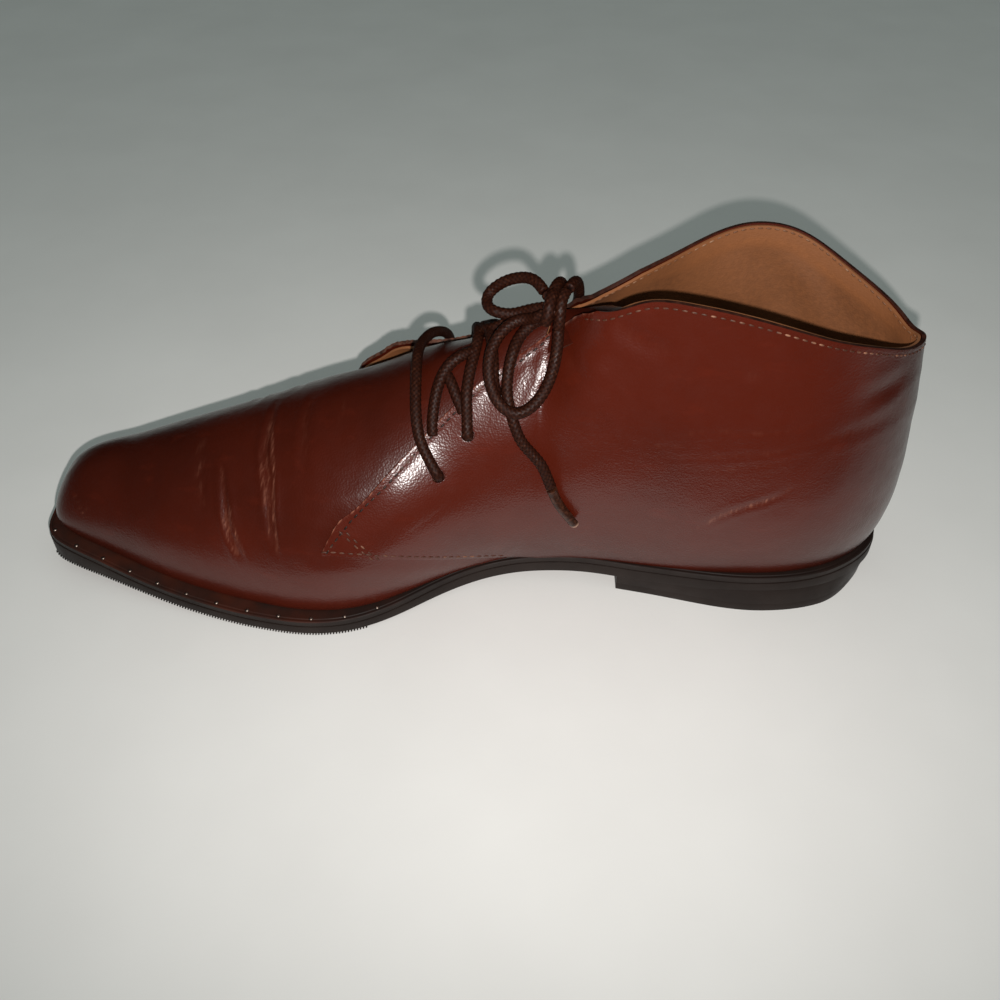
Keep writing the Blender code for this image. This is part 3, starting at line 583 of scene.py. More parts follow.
# How far the tongue runs on past the throat: at its medial edge, middle and lateral edge
TONGUE_REACH = ((23.0, -11.0, 20.0), (16.0, -2.0, 3.0), (11.0, 7.0, -3.0))
TONGUE_LOWER = 0.35       # and how much deeper it lies than the vamp
# How dark the tongue is painted: burnish, and painted shade for the shade it lies in under the
# laces
TONGUE_SHARE = 0.9        # its sides begin at this share of the facing's height
TONGUE_BURNISH_AND_SHADE = 0.55
RIB_STEP = 1.7            # between the vamp's ribs along the ridge ...
TOE_STEP = 0.12           # ... at the tip of the toe ...
FLEXED, FLEXED_STEP = (-74.0, -45.0), 0.6     # ... and in the part that has the fine creases
UNDER_QUARTER = 0.75      # the vamp lies this far below the last's surface under the quarters
LAP_FADE = (0.5, 7.0)     # and comes up again over this distance from their edges
THROAT_X, THROAT_Z = (-44.0, -24.0), (42.0, 52.0)
LIP_HEIGHT, LIP_AT = 0.55, 1.9    # lips beside a crease, as shares of its depth and width
CREASE_STEP = 0.6
# Slow unevenness of the leather: height, size, seed
VAMP_WAVES = ((0.22, 16, 1), (0.06, 5, 2))
VAMP_WAVES_X = (-118.0, -96.0)
TONGUE_WAVE, TONGUE_WAVE_X = (0.5, 12, 3), (0.0, 16.0)    # its x counts from the throat
# Burnishing of the vamp: all over and more at the toe, and painted shade that darkens it towards
# the top
VAMP_BURNISH_AND_SHADE = (0.05, 0.40, 0.35)
BURNISH_TOE_X, SHADE_TOP_Z = (-60.0, -118.0), (20.0, 45.0)
# Front edge of the quarters (the facing) in side view, from its lower corner to the collar: x, z
FACING = (
    (-39.0, 30.0), (-35.4, 36.3), (-33.2, 39.6), (-29.8, 42.2), (-20.5, 50.2), (-10.0, 59.9),
    (2.0, 70.6), (15.0, 81.0), (24.5, 87.5), (32.5, 93.5), (40.0, 101.0),
)
# Lower edge of the quarters in side view, from the same corner down into the waist: x, z
WAIST_LINE = (
    (-39.0, 30.0), (-30.7, 29.4), (-22.0, 27.8), (-12.6, 24.6), (0.0, 18.5), (7.7, 15.3),
    (15.6, 13.0), (26.0, 11.0),
)
OVER_COLLAR = (60.0, 130.0)    # the facing's line goes on to here above the collar
# Creases in the leather: depth, width, wear, then points along each
VAMP_CREASES = (
    (0.40, 1.2, 0.5, ((-71.3, -17.0, 43.7), (-70.0, -23.1, 39.4), (-69.2, -28.1, 34.0),
        (-67.5, -31.7, 28.9), (-64.8, -34.8, 23.3))),
    (0.12, 0.7, 1.0, ((-71.9, -15.0, 45.0), (-70.4, -22.0, 40.4), (-69.7, -27.0, 35.5),
        (-68.3, -31.0, 30.1), (-66.6, -33.6, 25.2))),
    (0.10, 0.7, 1.0, ((-69.2, -24.1, 38.7), (-66.5, -30.5, 31.7), (-63.9, -34.4, 25.1))),
    (0.10, 0.6, 0.9, ((-71.4, -26.0, 36.0), (-70.2, -28.8, 32.5), (-68.4, -32.2, 27.3),
        (-66.4, -34.1, 23.9))),
    (0.40, 1.2, 0.4, ((-57.3, 6.0, 53.0), (-57.3, -7.7, 52.9), (-57.2, -16.0, 49.8),
        (-55.3, -23.1, 45.9), (-54.9, -28.5, 40.8), (-54.4, -33.1, 34.6), (-53.4, -36.5, 28.0))),
    (0.12, 0.7, 1.0, ((-56.4, -1.7, 54.2), (-55.0, -15.2, 51.0), (-53.9, -22.3, 47.1),
        (-53.7, -29.4, 40.4), (-53.2, -34.1, 33.6), (-52.3, -37.0, 26.4))),
    (0.10, 0.7, 1.0, ((-58.8, -12.0, 50.4), (-58.2, -18.4, 48.0), (-56.8, -26.0, 42.5),
        (-56.0, -31.1, 36.9))),
    (0.10, 0.6, 0.8, ((-57.8, -20.0, 47.2), (-55.9, -27.6, 41.6), (-55.3, -32.0, 36.0),
        (-54.6, -35.6, 29.8))),
    (0.22, 1.3, 0.30, ((-80.0, -4.2, 45.7), (-78.9, -15.9, 41.4), (-77.1, -23.5, 35.8))),
    (0.28, 1.6, 0.15, ((-44.5, 6.0, 58.2), (-45.0, -8.0, 57.6), (-44.0, -20.0, 51.5),
        (-42.5, -29.0, 43.0))),
    (0.22, 1.8, 0.10, ((-33.0, -4.0, 63.0), (-33.0, -14.0, 59.0), (-32.5, -22.0, 52.5))),
    (0.35, 1.5, 0.4, ((-66.0, 12.0, 49.5), (-65.0, 24.0, 42.5), (-62.0, 33.0, 32.0))),
    (0.30, 1.5, 0.4, ((-52.0, 14.0, 53.0), (-50.0, 28.0, 44.5), (-47.0, 37.0, 33.0))),
    (0.06, 0.6, 0.6, ((-124.1, -9.9, 26.9), (-122.2, -13.3, 24.4), (-119.7, -15.7, 22.1))),
    (0.05, 0.5, 0.6, ((-120.6, -12.8, 26.0), (-118.8, -14.8, 24.4))),
)


def along(points, spacing=0.5):
    """Evenly spaced points on a smooth curve through a few points."""
    points = np.array(points, float)
    keys = run_of(points)
    fine = cubic(keys, points, np.linspace(0, keys[-1], max(40, int(keys[-1] * 6))))
    length = run_of(fine)
    count = max(int(round(length[-1] / spacing)), 2) + 1
    even = np.linspace(0, length[-1], count)
    return np.column_stack([np.interp(even, length, fine[:, k]) for k in range(points.shape[1])])


def distance_to(points, path):
    """Distance of each point to the nearest one of a finely spaced path, and that one's index."""
    nearest, index = np.full(len(points), np.inf), np.zeros(len(points), int)
    for start in range(0, len(path), 64):
        part = np.linalg.norm(points[:, None] - path[None, start:start + 64], axis=2)
        best = part.argmin(axis=1)
        gap = part[np.arange(len(points)), best]
        closer = gap < nearest
        nearest[closer], index[closer] = gap[closer], best[closer] + start
    return nearest, index


def creased(points, creases):
    """Height and wear that soft troughs with raised lips leave at the points."""
    height, wear = np.zeros(len(points)), np.zeros(len(points))
    for depth, width, worn, spots in creases:
        path = along(spots, CREASE_STEP)
        gap, index = distance_to(points, path)
        share = index / (len(path) - 1)
        fade = np.sin(np.pi * np.clip(share, 0.02, 0.98)) ** 0.6
        if width < 2.5:
            run = index * CREASE_STEP
            fade *= 1 + 0.35 * np.sin(2.3 * run + 5 * depth) * np.sin(0.9 * run)
        reach = gap / width
        lip = LIP_HEIGHT * np.exp(-((reach - LIP_AT) ** 2))
        height += depth * fade * (lip - np.exp(-(reach**2)))
        wear = np.maximum(wear, worn * fade * np.exp(-((gap / (0.5 * width)) ** 2)))
    return height, np.clip(wear, 0, 1)


def uneven(points, *waves):
    """Smooth random height: the sum of waves, each with a height, a size and a seed."""
    total = np.zeros(len(points))
    for height, size, seed in waves:
        shift = Vector((seed * 13.7, seed * 7.1, seed * 3.3))
        total += height * np.array([noise.noise(Vector(p) / size + shift) for p in points])
    return total


def height_where(places, table):
    """Height along each rib at which it crosses a side-view line, 1 where it never does."""
    fine = np.linspace(0, 1, 401)
    points = last_form(places, fine, worn=False)
    line = np.array(table)
    xs = np.linspace(line[0, 0], line[-1, 0], 300)
    zs = cubic(line[:, 0], line[:, 1:], xs)[:, 0]
    over = points[..., 2] - np.interp(points[..., 0], xs, zs)
    over[points[..., 0] > line[-1, 0]] = -1
    crossed = over > 0
    first = crossed.argmax(axis=1)
    row = np.arange(len(points))
    before = np.maximum(first - 1, 0)
    rise = np.maximum(over[row, first] - over[row, before], 1e-9)
    share = np.clip(-over[row, before] / rise, 0, 1)
    height = fine[before] + share * (fine[first] - fine[before])
    return np.where(crossed.any(axis=1), height, 1.0)


def facing_height(places):
    return height_where(places, FACING)


def waist_height(places):
    height = height_where(places, WAIST_LINE)
    return np.where(height >= 1, 0.0, height)


def place_of_ridge(x, side):
    """Place along the feather line whose rib reaches the ridge at x, on one side of the foot."""
    table = MEDIAL_VAMP if side == "medial" else LATERAL_VAMP[:-1]
    start = 0 if side == "medial" else len(MEDIAL_VAMP) + len(COLLAR)
    places = np.linspace(RIB_KEYS[start], RIB_KEYS[start + len(table) - 1], 2000)
    reach = ribs(places)[0][:, 3]
    order = np.argsort(reach)
    return np.interp(x, reach[order], places[order])


def sheet_of(grid, weld=0.03):
    """Open sheet that faces outwards through a grid of points, which are merged where they meet."""
    bm = bmesh.new()
    verts = [[bm.verts.new(spot) for spot in row] for row in grid]
    for row, after in zip(verts, verts[1:]):
        for j in range(len(row) - 1):
            bm.faces.new((row[j], after[j], after[j + 1], row[j + 1]))
    bmesh.ops.remove_doubles(bm, verts=bm.verts, dist=weld)
    bmesh.ops.recalc_face_normals(bm, faces=bm.faces)
    centre = Vector((0, 0, 30))
    if sum((f.calc_center_median() - centre).dot(f.normal) * f.calc_area() for f in bm.faces) < 0:
        bmesh.ops.reverse_faces(bm, faces=bm.faces)
    bm.normal_update()
    return bm


def shifted(bm, moves):
    """Move a sheet's points along their normals."""
    for v, move in zip(bm.verts, moves):
        v.co += v.normal * float(move)
    bm.normal_update()


def spots_of(bm):
    return np.array([v.co for v in bm.verts])


def evaluated(source, name):
    """Plain mesh of an object with its modifiers applied. The object is used up."""
    bpy.context.view_layer.update()
    applied = source.evaluated_get(bpy.context.evaluated_depsgraph_get())
    made = bpy.data.meshes.new_from_object(applied)
    source.modifiers.clear()
    bpy.data.objects.remove(source)
    made.name = name
    return made


def with_wall(name, bm, thickness, rounding, finish, cad_node, slot, attributes=None,
              cutter=None, edge_finish=None):
    """Leather piece: an open sheet thickened inwards, its cut edges rounded, inked if told."""
    attributes = attributes or {}
    layers = {key: bm.verts.layers.float.new(key) for key in attributes}
    for key, layer in layers.items():
        for v, value in zip(bm.verts, attributes[key]):
            v[layer] = float(value)
    raw = in_scene(name + "_raw", to_frame(bm, name))
    raw.data.materials.append(finish)
    wall = raw.modifiers.new("wall", "SOLIDIFY")
    wall.thickness = thickness * MM
    wall.offset = -1
    wall.use_even_offset = False
    if edge_finish is not None:
        raw.data.materials.append(edge_finish)
        wall.material_offset_rim = 1
    if cutter is not None:
        holes = raw.modifiers.new("holes", "BOOLEAN")
        holes.object = cutter
        holes.solver = "EXACT"
    soften = raw.modifiers.new("edges", "BEVEL")
    soften.width = rounding * MM
    soften.segments = 3
    soften.angle_limit = np.radians(50)
    soften.harden_normals = False
    made = evaluated(raw, name)
    made.shade_smooth()
    made.set_sharp_from_angle(angle=np.radians(60))
    return piece(name, made, cad_node, slot)


def calf_leather(name, base, deep):
    """Glazed calf, finely grained: darker where its darkening attribute says, which is burnish plus
    painted shade on the vamp's top and the tongue; pink where "wear" says, which is scuffs plus a
    painted highlight along the inner facing's edge.
    """
    made, tree = new_material(name, 0.4, Coat_Weight=0.70, Coat_Roughness=0.26,
                              Specular_IOR_Level=0.12)
    patchy = maths(tree, "MULTIPLY_ADD", noise_of(tree, 34, 4, 0.6), 0.9, -0.42)
    shade = maths(tree, "ADD", patchy, attribute_of(tree, "burnish_and_shade"), clamp=True)
    colour = mixed(tree, shade, base, deep)
    streak = noise_of(tree, 7, 5, 0.6, (0.5, 1.0, 1.6))
    lighter = ramp_of(tree, streak, 0.58, 0.80, 0.0, 0.28)
    colour = mixed(tree, lighter, colour, tuple(1.7 * c for c in base))
    broken = noise_of(tree, 1.1, 3, 0.6, (1.0, 0.16, 0.16))
    fray = maths(tree, "MULTIPLY", ramp_of(tree, broken, 0.46, 0.64, 0.12, 1.0),
                 attribute_of(tree, "wear"), clamp=True)
    dull = ramp_of(tree, noise_of(tree, 5, 4, 0.65), 0.35, 0.75, 0.36, 0.50)
    grain = node(tree, "ShaderNodeTexVoronoi", {"feature": "SMOOTH_F1"},
                 Vector=object_place(tree), Scale=1700.0, Smoothness=0.4)
    folded = noise_of(tree, 1.3, 4, 0.65, (0.30, 0.8, 1.25), 0.6)
    return finished(made, mixed(tree, fray, colour, SCUFF_AND_HIGHLIGHT_PINK), [
        (noise_of(tree, 7, 3, 0.5), 0.13),
        (maths(tree, "MULTIPLY", folded, attribute_of(tree, "flexed")), 0.11),
        (noise_of(tree, 1.5, 4, 0.65), 0.022),
        (grain.outputs["Distance"], 0.05),
    ], dull)


vamp_finish = calf_leather("vamp_leather", COGNAC, COGNAC_DARK)
cut_edge, tree = new_material("inked_edge", 0.5)
ink = mixed(tree, ramp_of(tree, noise_of(tree, 2.2), 0.35, 0.7), INK, INK_THIN)
bare_and_highlight = mixed(tree, ramp_of(tree, noise_of(tree, 1.5), 0.35, 0.6), INK_WORN, BARE_EDGE_AND_HIGHLIGHT)
ahead = node(tree, "ShaderNodeSeparateXYZ", Vector=object_place(tree)).outputs["X"]
# The ink is worn off along the facing, in front of the collar, and the paler bare edge there is
# also a painted highlight of the edge catching the light
finished(cut_edge, mixed(tree, ramp_of(tree, ahead, 0.020, 0.034), bare_and_highlight, ink),
         [(noise_of(tree, 0.5, 2), 0.05)])

# The ribs between which each quarter's front is looked for
MEDIAL_HOLD = (RIB_KEYS[0], RIB_KEYS[len(MEDIAL_VAMP) + 4])
LATERAL_HOLD = (RIB_KEYS[len(MEDIAL_VAMP) + 14], LATERAL_TOE)


def quarter_start(side):
    """Place of the quarter's front corner on one side."""
    hold = MEDIAL_HOLD if side == "medial" else LATERAL_HOLD
    places = np.linspace(*hold, 3000)
    width = facing_height(places) - waist_height(places)
    ahead = ribs(places)[0][:, 0] < -30
    open_here = places[(width > 0.012) & (width < 1) & ~(ahead & (facing_height(places) >= 1))]
    return open_here.min() if side == "medial" else open_here.max()


QUARTER_FROM, QUARTER_TO = quarter_start("medial"), quarter_start("lateral")
QUARTER_PLACES = np.linspace(QUARTER_FROM, QUARTER_TO, 430)
QUARTER_TOP = facing_height(QUARTER_PLACES)
QUARTER_LOW = waist_height(QUARTER_PLACES)


def on_last(places, heights):
    """One point on each rib."""
    return last_form(places, np.asarray(heights)[:, None])[:, 0]


# Both edges of the quarters, as lines on the last's surface
top_edge = on_last(QUARTER_PLACES, QUARTER_TOP)
low_edge = on_last(QUARTER_PLACES, QUARTER_LOW)
facing_edge = top_edge[top_edge[:, 0] < FACING[-1][0]]
waist_edge = low_edge[low_edge[:, 0] < WAIST_LINE[-1][0]]


def edge_gaps(points):
    """Distance of each point to the facing, and to the nearer of the facing and the waist line."""
    to_facing, to_waist = (distance_to(points, line[::2])[0] for line in (facing_edge, waist_edge))
    return to_facing, np.minimum(to_facing, to_waist)


def vamp_drop(points):
    """How far the vamp lies below the last's surface: a leather's thickness at the quarters."""
    line, waist = np.array((*FACING, OVER_COLLAR)), np.array(WAIST_LINE)
    under = points[:, 2] < np.interp(points[:, 0], line[:, 0], line[:, 1])
    above = points[:, 2] > np.interp(points[:, 0], waist[:, 0], waist[:, 1])
    covered = under & above & (points[:, 0] > line[0, 0])
    throat = smoothstep(*THROAT_X, points[:, 0]) * smoothstep(*THROAT_Z, points[:, 2])
    near_edge = 1 - smoothstep(*LAP_FADE, edge_gaps(points)[1])
    share = np.where(covered, 1.0, np.maximum(near_edge, throat))
    return UNDER_QUARTER * share + TONGUE_LOWER * throat


def ridge_stations(pitch):
    """Ridge positions, close together at the toe and in the creases, evenly spaced elsewhere."""
    toe = RIDGE_X[0] + np.cumsum(np.linspace(TOE_STEP, pitch, 22)) - TOE_STEP
    even = np.concatenate([toe, np.arange(toe[-1] + pitch, TONGUE_BACK, pitch), [TONGUE_BACK]])
    if pitch >= 2:
        return np.unique(even)
    creased_part = np.arange(*FLEXED, FLEXED_STEP)
    return np.union1d(even[(even < FLEXED[0]) | (even > FLEXED[1])], creased_part)


def vamp_grid(pitch, levels):
    """The vamp from one side of the throat round the toe to the other, and its two end ribs."""
    stations = ridge_stations(pitch)
    medial, lateral = (place_of_ridge(stations, side) for side in ("medial", "lateral"))
    toe = np.linspace(lateral[0], GIRTH + medial[0], 26)
    round_toe = np.concatenate([lateral[::-1], toe[1:-1], GIRTH + medial])
    return last_form(round_toe, levels), medial[-1:], lateral[-1:]


def same(points, value):
    """One value for every point."""
    return np.full(len(points), value)


grid, medial_end, lateral_end = vamp_grid(RIB_STEP, 1 - (1 - np.linspace(0, 1, 56)) ** 1.05)
vamp = sheet_of(grid)
points = spots_of(vamp)
drop = vamp_drop(points)
folds, wear = creased(points, VAMP_CREASES)
waves = uneven(points, *VAMP_WAVES) * smoothstep(*VAMP_WAVES_X, points[:, 0])
shifted(vamp, folds + waves - drop)
everywhere, at_toe, top_shade = VAMP_BURNISH_AND_SHADE
burnish_and_shade = everywhere + at_toe * smoothstep(*BURNISH_TOE_X, points[:, 0])
# painted shade: the vamp's colour is darkened towards its top
burnish_and_shade += top_shade * smoothstep(*SHADE_TOP_Z, points[:, 2])
with_wall("vamp", vamp, LEATHER, CUT_ROUND, vamp_finish, "tongue", "upper_leather",
          {"wear": wear, "burnish_and_shade": burnish_and_shade}, None, cut_edge)
# The tongue runs on past the throat
tongue_from = TONGUE_SHARE * facing_height(np.concatenate([medial_end, lateral_end]))
sides = [last_form(end, np.linspace(low, 1, 22))[0]
         for end, low in zip((medial_end, lateral_end), tongue_from)]
end_row = np.concatenate([sides[0], sides[1][::-1][1:]])
run_on = cubic([-1, 0, 1], TONGUE_REACH, np.linspace(-1, 1, len(end_row)))
tongue = sheet_of([end_row + run_on * part for part in np.linspace(0, 1, 16)])
points = spots_of(tongue)
flare = smoothstep(*TONGUE_WAVE_X, points[:, 0] - TONGUE_BACK)
shifted(tongue, uneven(points, TONGUE_WAVE) * flare - UNDER_QUARTER - TONGUE_LOWER)
# painted shade: the tongue's colour is darkened all over, as if in the shade of the laces
with_wall("tongue_top", tongue, LEATHER, CUT_ROUND, vamp_finish, "tongue", "upper_leather",
          {"wear": same(points, 0.0), "burnish_and_shade": same(points, TONGUE_BURNISH_AND_SHADE)}, None, cut_edge)


# --------------------------------------------------------------------------------------------------
# The quarters. Two pieces of the same leather, closed at the back of the heel and lapped over the
# vamp. Each has three punched lace holes near its front edge. The lateral one is folded open a
# little below the laces.
QUARTER_OUT = 0.65
EYELETS = ((-3.9, 51.7), (4.9, 62.9), (13.1, 74.4))
EYELET_R = 2.1
PUNCH_DEPTH = 9
# Where the lateral front edge stands when it is lifted, from its corner up
LIFTED = (
    (-39.0, 39.0, 34.0), (-33.0, 36.0, 48.3), (-27.0, 34.0, 53.4), (-22.0, 32.0, 58.0),
    (-16.0, 29.5, 60.7), (-10.0, 27.0, 62.5), (-4.0, 25.3, 64.0), (4.0, 22.2, 67.7),
)
LIFT_REACH = 26.0         # width of the strip that bends up
LIFT_END_X = (-6.0, 14.0)
LIFT_FROM_Y = 5.0         # nothing is lifted on the inner side of this
EDGE_PROUD = 0.60         # how far the facing's edge stands off the vamp
PROUD_FADE = (0.0, 3.5)
TIED_DOWN = 1.9           # how far the laces pull it down at their holes ...
TIED_REACH = 13.0         # ... and how far behind the edge
TIED_FRONT_X, TIED_BACK_X = (6.0, 16.0), (30.0, 38.0)
# Pink along the inner facing's edge: wear, and a painted highlight where the cut edge catches the
# light
EDGE_WEAR_AND_HIGHLIGHT, WEAR_FADE = 1.5, (0.05, 0.9)
# Finely wrinkled parts of the quarter's side: x, z, reach along, reach up, strength
WRINKLED = ((76, 63, 30, 11, 1.0), (36, 72, 14, 16, 0.8))
WRINKLED_OUTSIDE = 0.3
QUARTER_WAVES = ((0.25, 22, 4), (0.05, 6, 5))    # height, size, seed
WAVES_FADE = (1.0, 12.0)
# How the quarters are darkened: burnish all over and more at the heel, and darker towards the sole
QUARTER_DARKENING = (0.02, 0.45, 0.25)
BURNISH_HEEL_X, DARKER_LOW_Z = (95.0, 138.0), (8.0, 30.0)
# Creases in the leather, and swellings where the depth is negative
QUARTER_CREASES = (
    (0.20, 1.2, 0.75, ((74.2, -29.2, 34.9), (79.8, -30.3, 40.6), (88.0, -31.0, 46.0),
        (94.7, -31.5, 49.7), (98.1, -31.4, 52.8))),
    (0.16, 2.2, 0.10, ((102.7, -29.8, 69.3), (114.0, -25.5, 69.8), (125.5, -17.3, 69.9))),
    (0.22, 1.0, 0.10, ((78.4, -28.9, 92.6), (79.4, -28.9, 90.6), (81.6, -28.9, 90.0),
        (83.8, -28.9, 91.0))),
    (0.09, 0.9, 0.10, ((59.6, -27.9, 67.2), (69.9, -29.0, 71.3), (86.4, -30.3, 72.1),
        (102.0, -29.4, 75.7))),
    (0.10, 0.9, 0.12, ((60.0, -28.2, 61.5), (73.9, -29.7, 62.9), (90.2, -30.8, 65.7),
        (112.1, -26.8, 70.6))),
    (0.08, 0.8, 0.10, ((69.1, -29.5, 57.4), (82.7, -30.7, 59.6), (98.8, -30.7, 64.2))),
    (0.07, 0.8, 0.12, ((42.5, -25.1, 67.9), (57.0, -27.6, 65.0), (67.6, -29.0, 66.7))),
    (0.30, 3.0, 0.00, ((113.0, -25.1, 79.6), (122.9, -18.8, 80.4), (127.9, -14.7, 79.7))),
    (0.30, 2.5, 0.05, ((30.0, -14.0, 90.0), (36.0, -18.0, 84.0), (44.0, -23.0, 80.0))),
    (0.30, 2.6, 0.05, ((44.0, -20.5, 104.0), (50.0, -23.0, 98.0), (60.0, -26.0, 95.0))),
    (-0.9, 9.0, 0.0, ((-23.0, -21.0, 56.0), (-15.5, -27.0, 49.0), (-7.0, -32.0, 39.0))),
    (-0.85, 6.5, 0.0, ((9.0, -25.0, 57.0), (19.0, -25.0, 63.5), (29.0, -23.5, 71.0),
        (36.0, -20.5, 79.0))),
    (-0.25, 1.6, 0.0, ((29.0, -4.0, 91.5), (27.0, -10.2, 86.6), (25.8, -14.7, 80.2),
        (23.2, -18.2, 73.4), (20.5, -20.5, 67.8))),
)


def lift_of(points):
    """How far the lifted flap moves each point of the lateral quarter."""
    edge = along(LIFTED, 0.5)
    rest = facing_edge[facing_edge[:, 1] > 0]
    rest = rest[np.argsort(rest[:, 0])]
    x = edge[:, 0]
    rest_at = np.column_stack([x, *(np.interp(x, rest[:, 0], rest[:, k]) for k in (1, 2))])
    gap, index = distance_to(points, rest_at)
    bend = np.clip(1 - gap / LIFT_REACH, 0, 1) ** 1.8
    tail = 1 - smoothstep(*LIFT_END_X, points[:, 0])
    moves = (edge - rest_at)[index] * (bend * tail)[:, None]
    moves[points[:, 1] < LIFT_FROM_Y] = 0
    return moves


def lifted(bm, points):
    """Bend a sheet's lateral front edge up."""
    for v, move in zip(bm.verts, lift_of(points)):
        v.co += Vector(move)
    bm.normal_update()


def quarter_sheet(places, low, top, count):
    share = np.linspace(0, 1, count)
    return sheet_of(last_form(places, low[:, None] + (top - low)[:, None] * share))


def eyelet_spots():
    """Centre and outward direction of each lace hole, medial three first."""
    found = []
    for hold in (MEDIAL_HOLD, LATERAL_HOLD):
        places, heights = np.linspace(*hold, 700), np.linspace(0, 1, 260)
        grid, marked = last_form(places, heights), last_form(places, heights, worn=False)
        for x, z in EYELETS:
            miss = np.hypot(marked[..., 0] - x, marked[..., 2] - z)[1:-1, 1:-1]
            i, j = np.unravel_index(np.argmin(miss), miss.shape)
            spot = grid[i + 1, j + 1]
            along_edge = grid[i + 2, j + 1] - grid[i, j + 1]
            normal = unit(np.cross(along_edge, grid[i + 1, j + 2] - grid[i + 1, j]))
            normal *= np.sign(normal @ (spot - (spot[0], 0, 30)))
            found.append((spot + lift_of(spot[None])[0], normal))
    return found


HOLES = eyelet_spots()
punches = bmesh.new()
for spot, normal in HOLES:
    turn = Vector(normal).to_track_quat("Z", "Y").to_matrix().to_4x4()
    turn.translation = Vector(spot)
    bmesh.ops.create_cone(punches, cap_ends=True, segments=24, radius1=EYELET_R,
                          radius2=EYELET_R, depth=PUNCH_DEPTH, matrix=turn)
punch = in_scene("hole_punch", to_frame(punches, "hole_punch"))
punch.hide_render = True
punch.display_type = "WIRE"

quarters = quarter_sheet(QUARTER_PLACES, QUARTER_LOW, QUARTER_TOP, 76)
points = spots_of(quarters)
x, y, z = points.T
folds, wear = creased(points, QUARTER_CREASES)
waves = uneven(points, *QUARTER_WAVES)
to_facing, to_edge = edge_gaps(points)
stand_off = EDGE_PROUD * (1 - smoothstep(*PROUD_FADE, to_facing))
tied = (y < 0) * smoothstep(*TIED_FRONT_X, x) * (1 - smoothstep(*TIED_BACK_X, x))
stand_off -= TIED_DOWN * tied * np.clip(1 - to_facing / TIED_REACH, 0, 1) ** 2
flexed = sum(strength * np.exp(-(((x - at_x) / long) ** 2) - ((z - at_z) / high) ** 2)
             for at_x, at_z, long, high, strength in WRINKLED)
flexed = np.clip(flexed, 0, 1) * (y < 0) + WRINKLED_OUTSIDE * (y > 0)
shifted(quarters, QUARTER_OUT + folds + waves * smoothstep(*WAVES_FADE, to_edge) + stand_off)
lifted(quarters, points)
# painted highlight: the inner facing's edge is painted pink where its cut edge catches the light,
# on top of its wear
edge_wear_and_highlight = EDGE_WEAR_AND_HIGHLIGHT * (1 - smoothstep(*WEAR_FADE, to_facing)) * (y < 0)
everywhere, at_heel, at_sole = QUARTER_DARKENING
burnish_and_shade = everywhere + at_heel * smoothstep(*BURNISH_HEEL_X, x)
burnish_and_shade += at_sole * (1 - smoothstep(*DARKER_LOW_Z, z))
quarter_piece = with_wall(
    "quarters", quarters, LEATHER, CUT_ROUND, calf_leather("quarter_leather", COGNAC, COGNAC_DARK),
    "upper", "upper_leather",
    {"wear": np.maximum(wear, edge_wear_and_highlight), "burnish_and_shade": burnish_and_shade, "flexed": flexed}, punch, cut_edge)


# --------------------------------------------------------------------------------------------------
# The linings. Tan leather glued inside the quarters, ending just short of their edges, a thin vamp
# lining that runs forward to the toe, and a tape over the seam inside the heel.
LINING = 0.8
LINING_SHORT = 0.004      # the lining ends this share of a rib below the quarters' edge
LINING_TAN = (0.190, 0.066, 0.0200)
VAMP_LINING = 0.6
LINING_WAVE = (0.35, 15, 6)    # height, size, seed
TAPE = 0.5
TAPE_HALF = 4.6
TAPE_UP = (0.42, 0.972)   # its two ends, as shares of the ribs
TAPE_WAVE = (0.10, 5, 8)
# Soft folds in the lining: depth, width, wear, then points along each
LINING_FOLDS = (
    (0.7, 5.0, 0.0, ((80.0, 28.0, 99.0), (88.0, 28.8, 84.0), (93.0, 28.6, 66.0))),
    (0.6, 4.0, 0.0, ((103.0, 27.5, 97.0), (110.0, 25.5, 84.0), (113.0, 24.0, 70.0))),
    (0.5, 4.0, 0.0, ((124.0, 14.0, 86.0), (127.0, 12.0, 76.0), (129.0, 9.0, 64.0))),
    (-0.6, 5.0, 0.0, ((62.0, 24.0, 88.0), (72.0, 27.0, 78.0), (82.0, 28.5, 70.0))),
)
lining_finish = tan_leather("lining_leather", LINING_TAN)
places, low, top = (line[1:-1] for line in (QUARTER_PLACES, QUARTER_LOW, QUARTER_TOP))
lining = quarter_sheet(places, low, top - LINING_SHORT, 60)
points = spots_of(lining)
folds = creased(points, LINING_FOLDS)[0]
below_top = distance_to(points, top_edge[::2])[0]
waves = (uneven(points, LINING_WAVE) + folds) * smoothstep(4, 14, below_top)
band_low = 0.25 * (1 - smoothstep(5.0, 6.5, below_top))
shifted(lining, waves + QUARTER_OUT - LEATHER - 0.02 - band_low)
lifted(lining, points)
band = 0.5 * (1 - smoothstep(4.5, 6.5, below_top))
band += 0.5 * (1 - smoothstep(0.5, 2.0, np.abs(below_top - 6.0)))
lining_piece = with_wall("quarter_lining", lining, LINING, 0.25, lining_finish, "upper",
                         "sock_leather", {"band": band}, punch)
bpy.data.objects.remove(punch)
vamp_lining = sheet_of(vamp_grid(4.0, np.linspace(0, 1, 20))[0])
shifted(vamp_lining, -vamp_drop(spots_of(vamp_lining)) - LEATHER - 0.15)
with_wall("vamp_lining", vamp_lining, VAMP_LINING, 0.2, lining_finish, "upper", "sock_leather")
seam = RIB_KEYS[len(MEDIAL_VAMP) + 9]
tape_places = np.linspace(seam - TAPE_HALF, seam + TAPE_HALF, 17)
tape = sheet_of(last_form(tape_places, np.linspace(*TAPE_UP, 40)))
points = spots_of(tape)
shifted(tape, uneven(points, TAPE_WAVE) - (LEATHER - QUARTER_OUT) - LINING - 0.10)
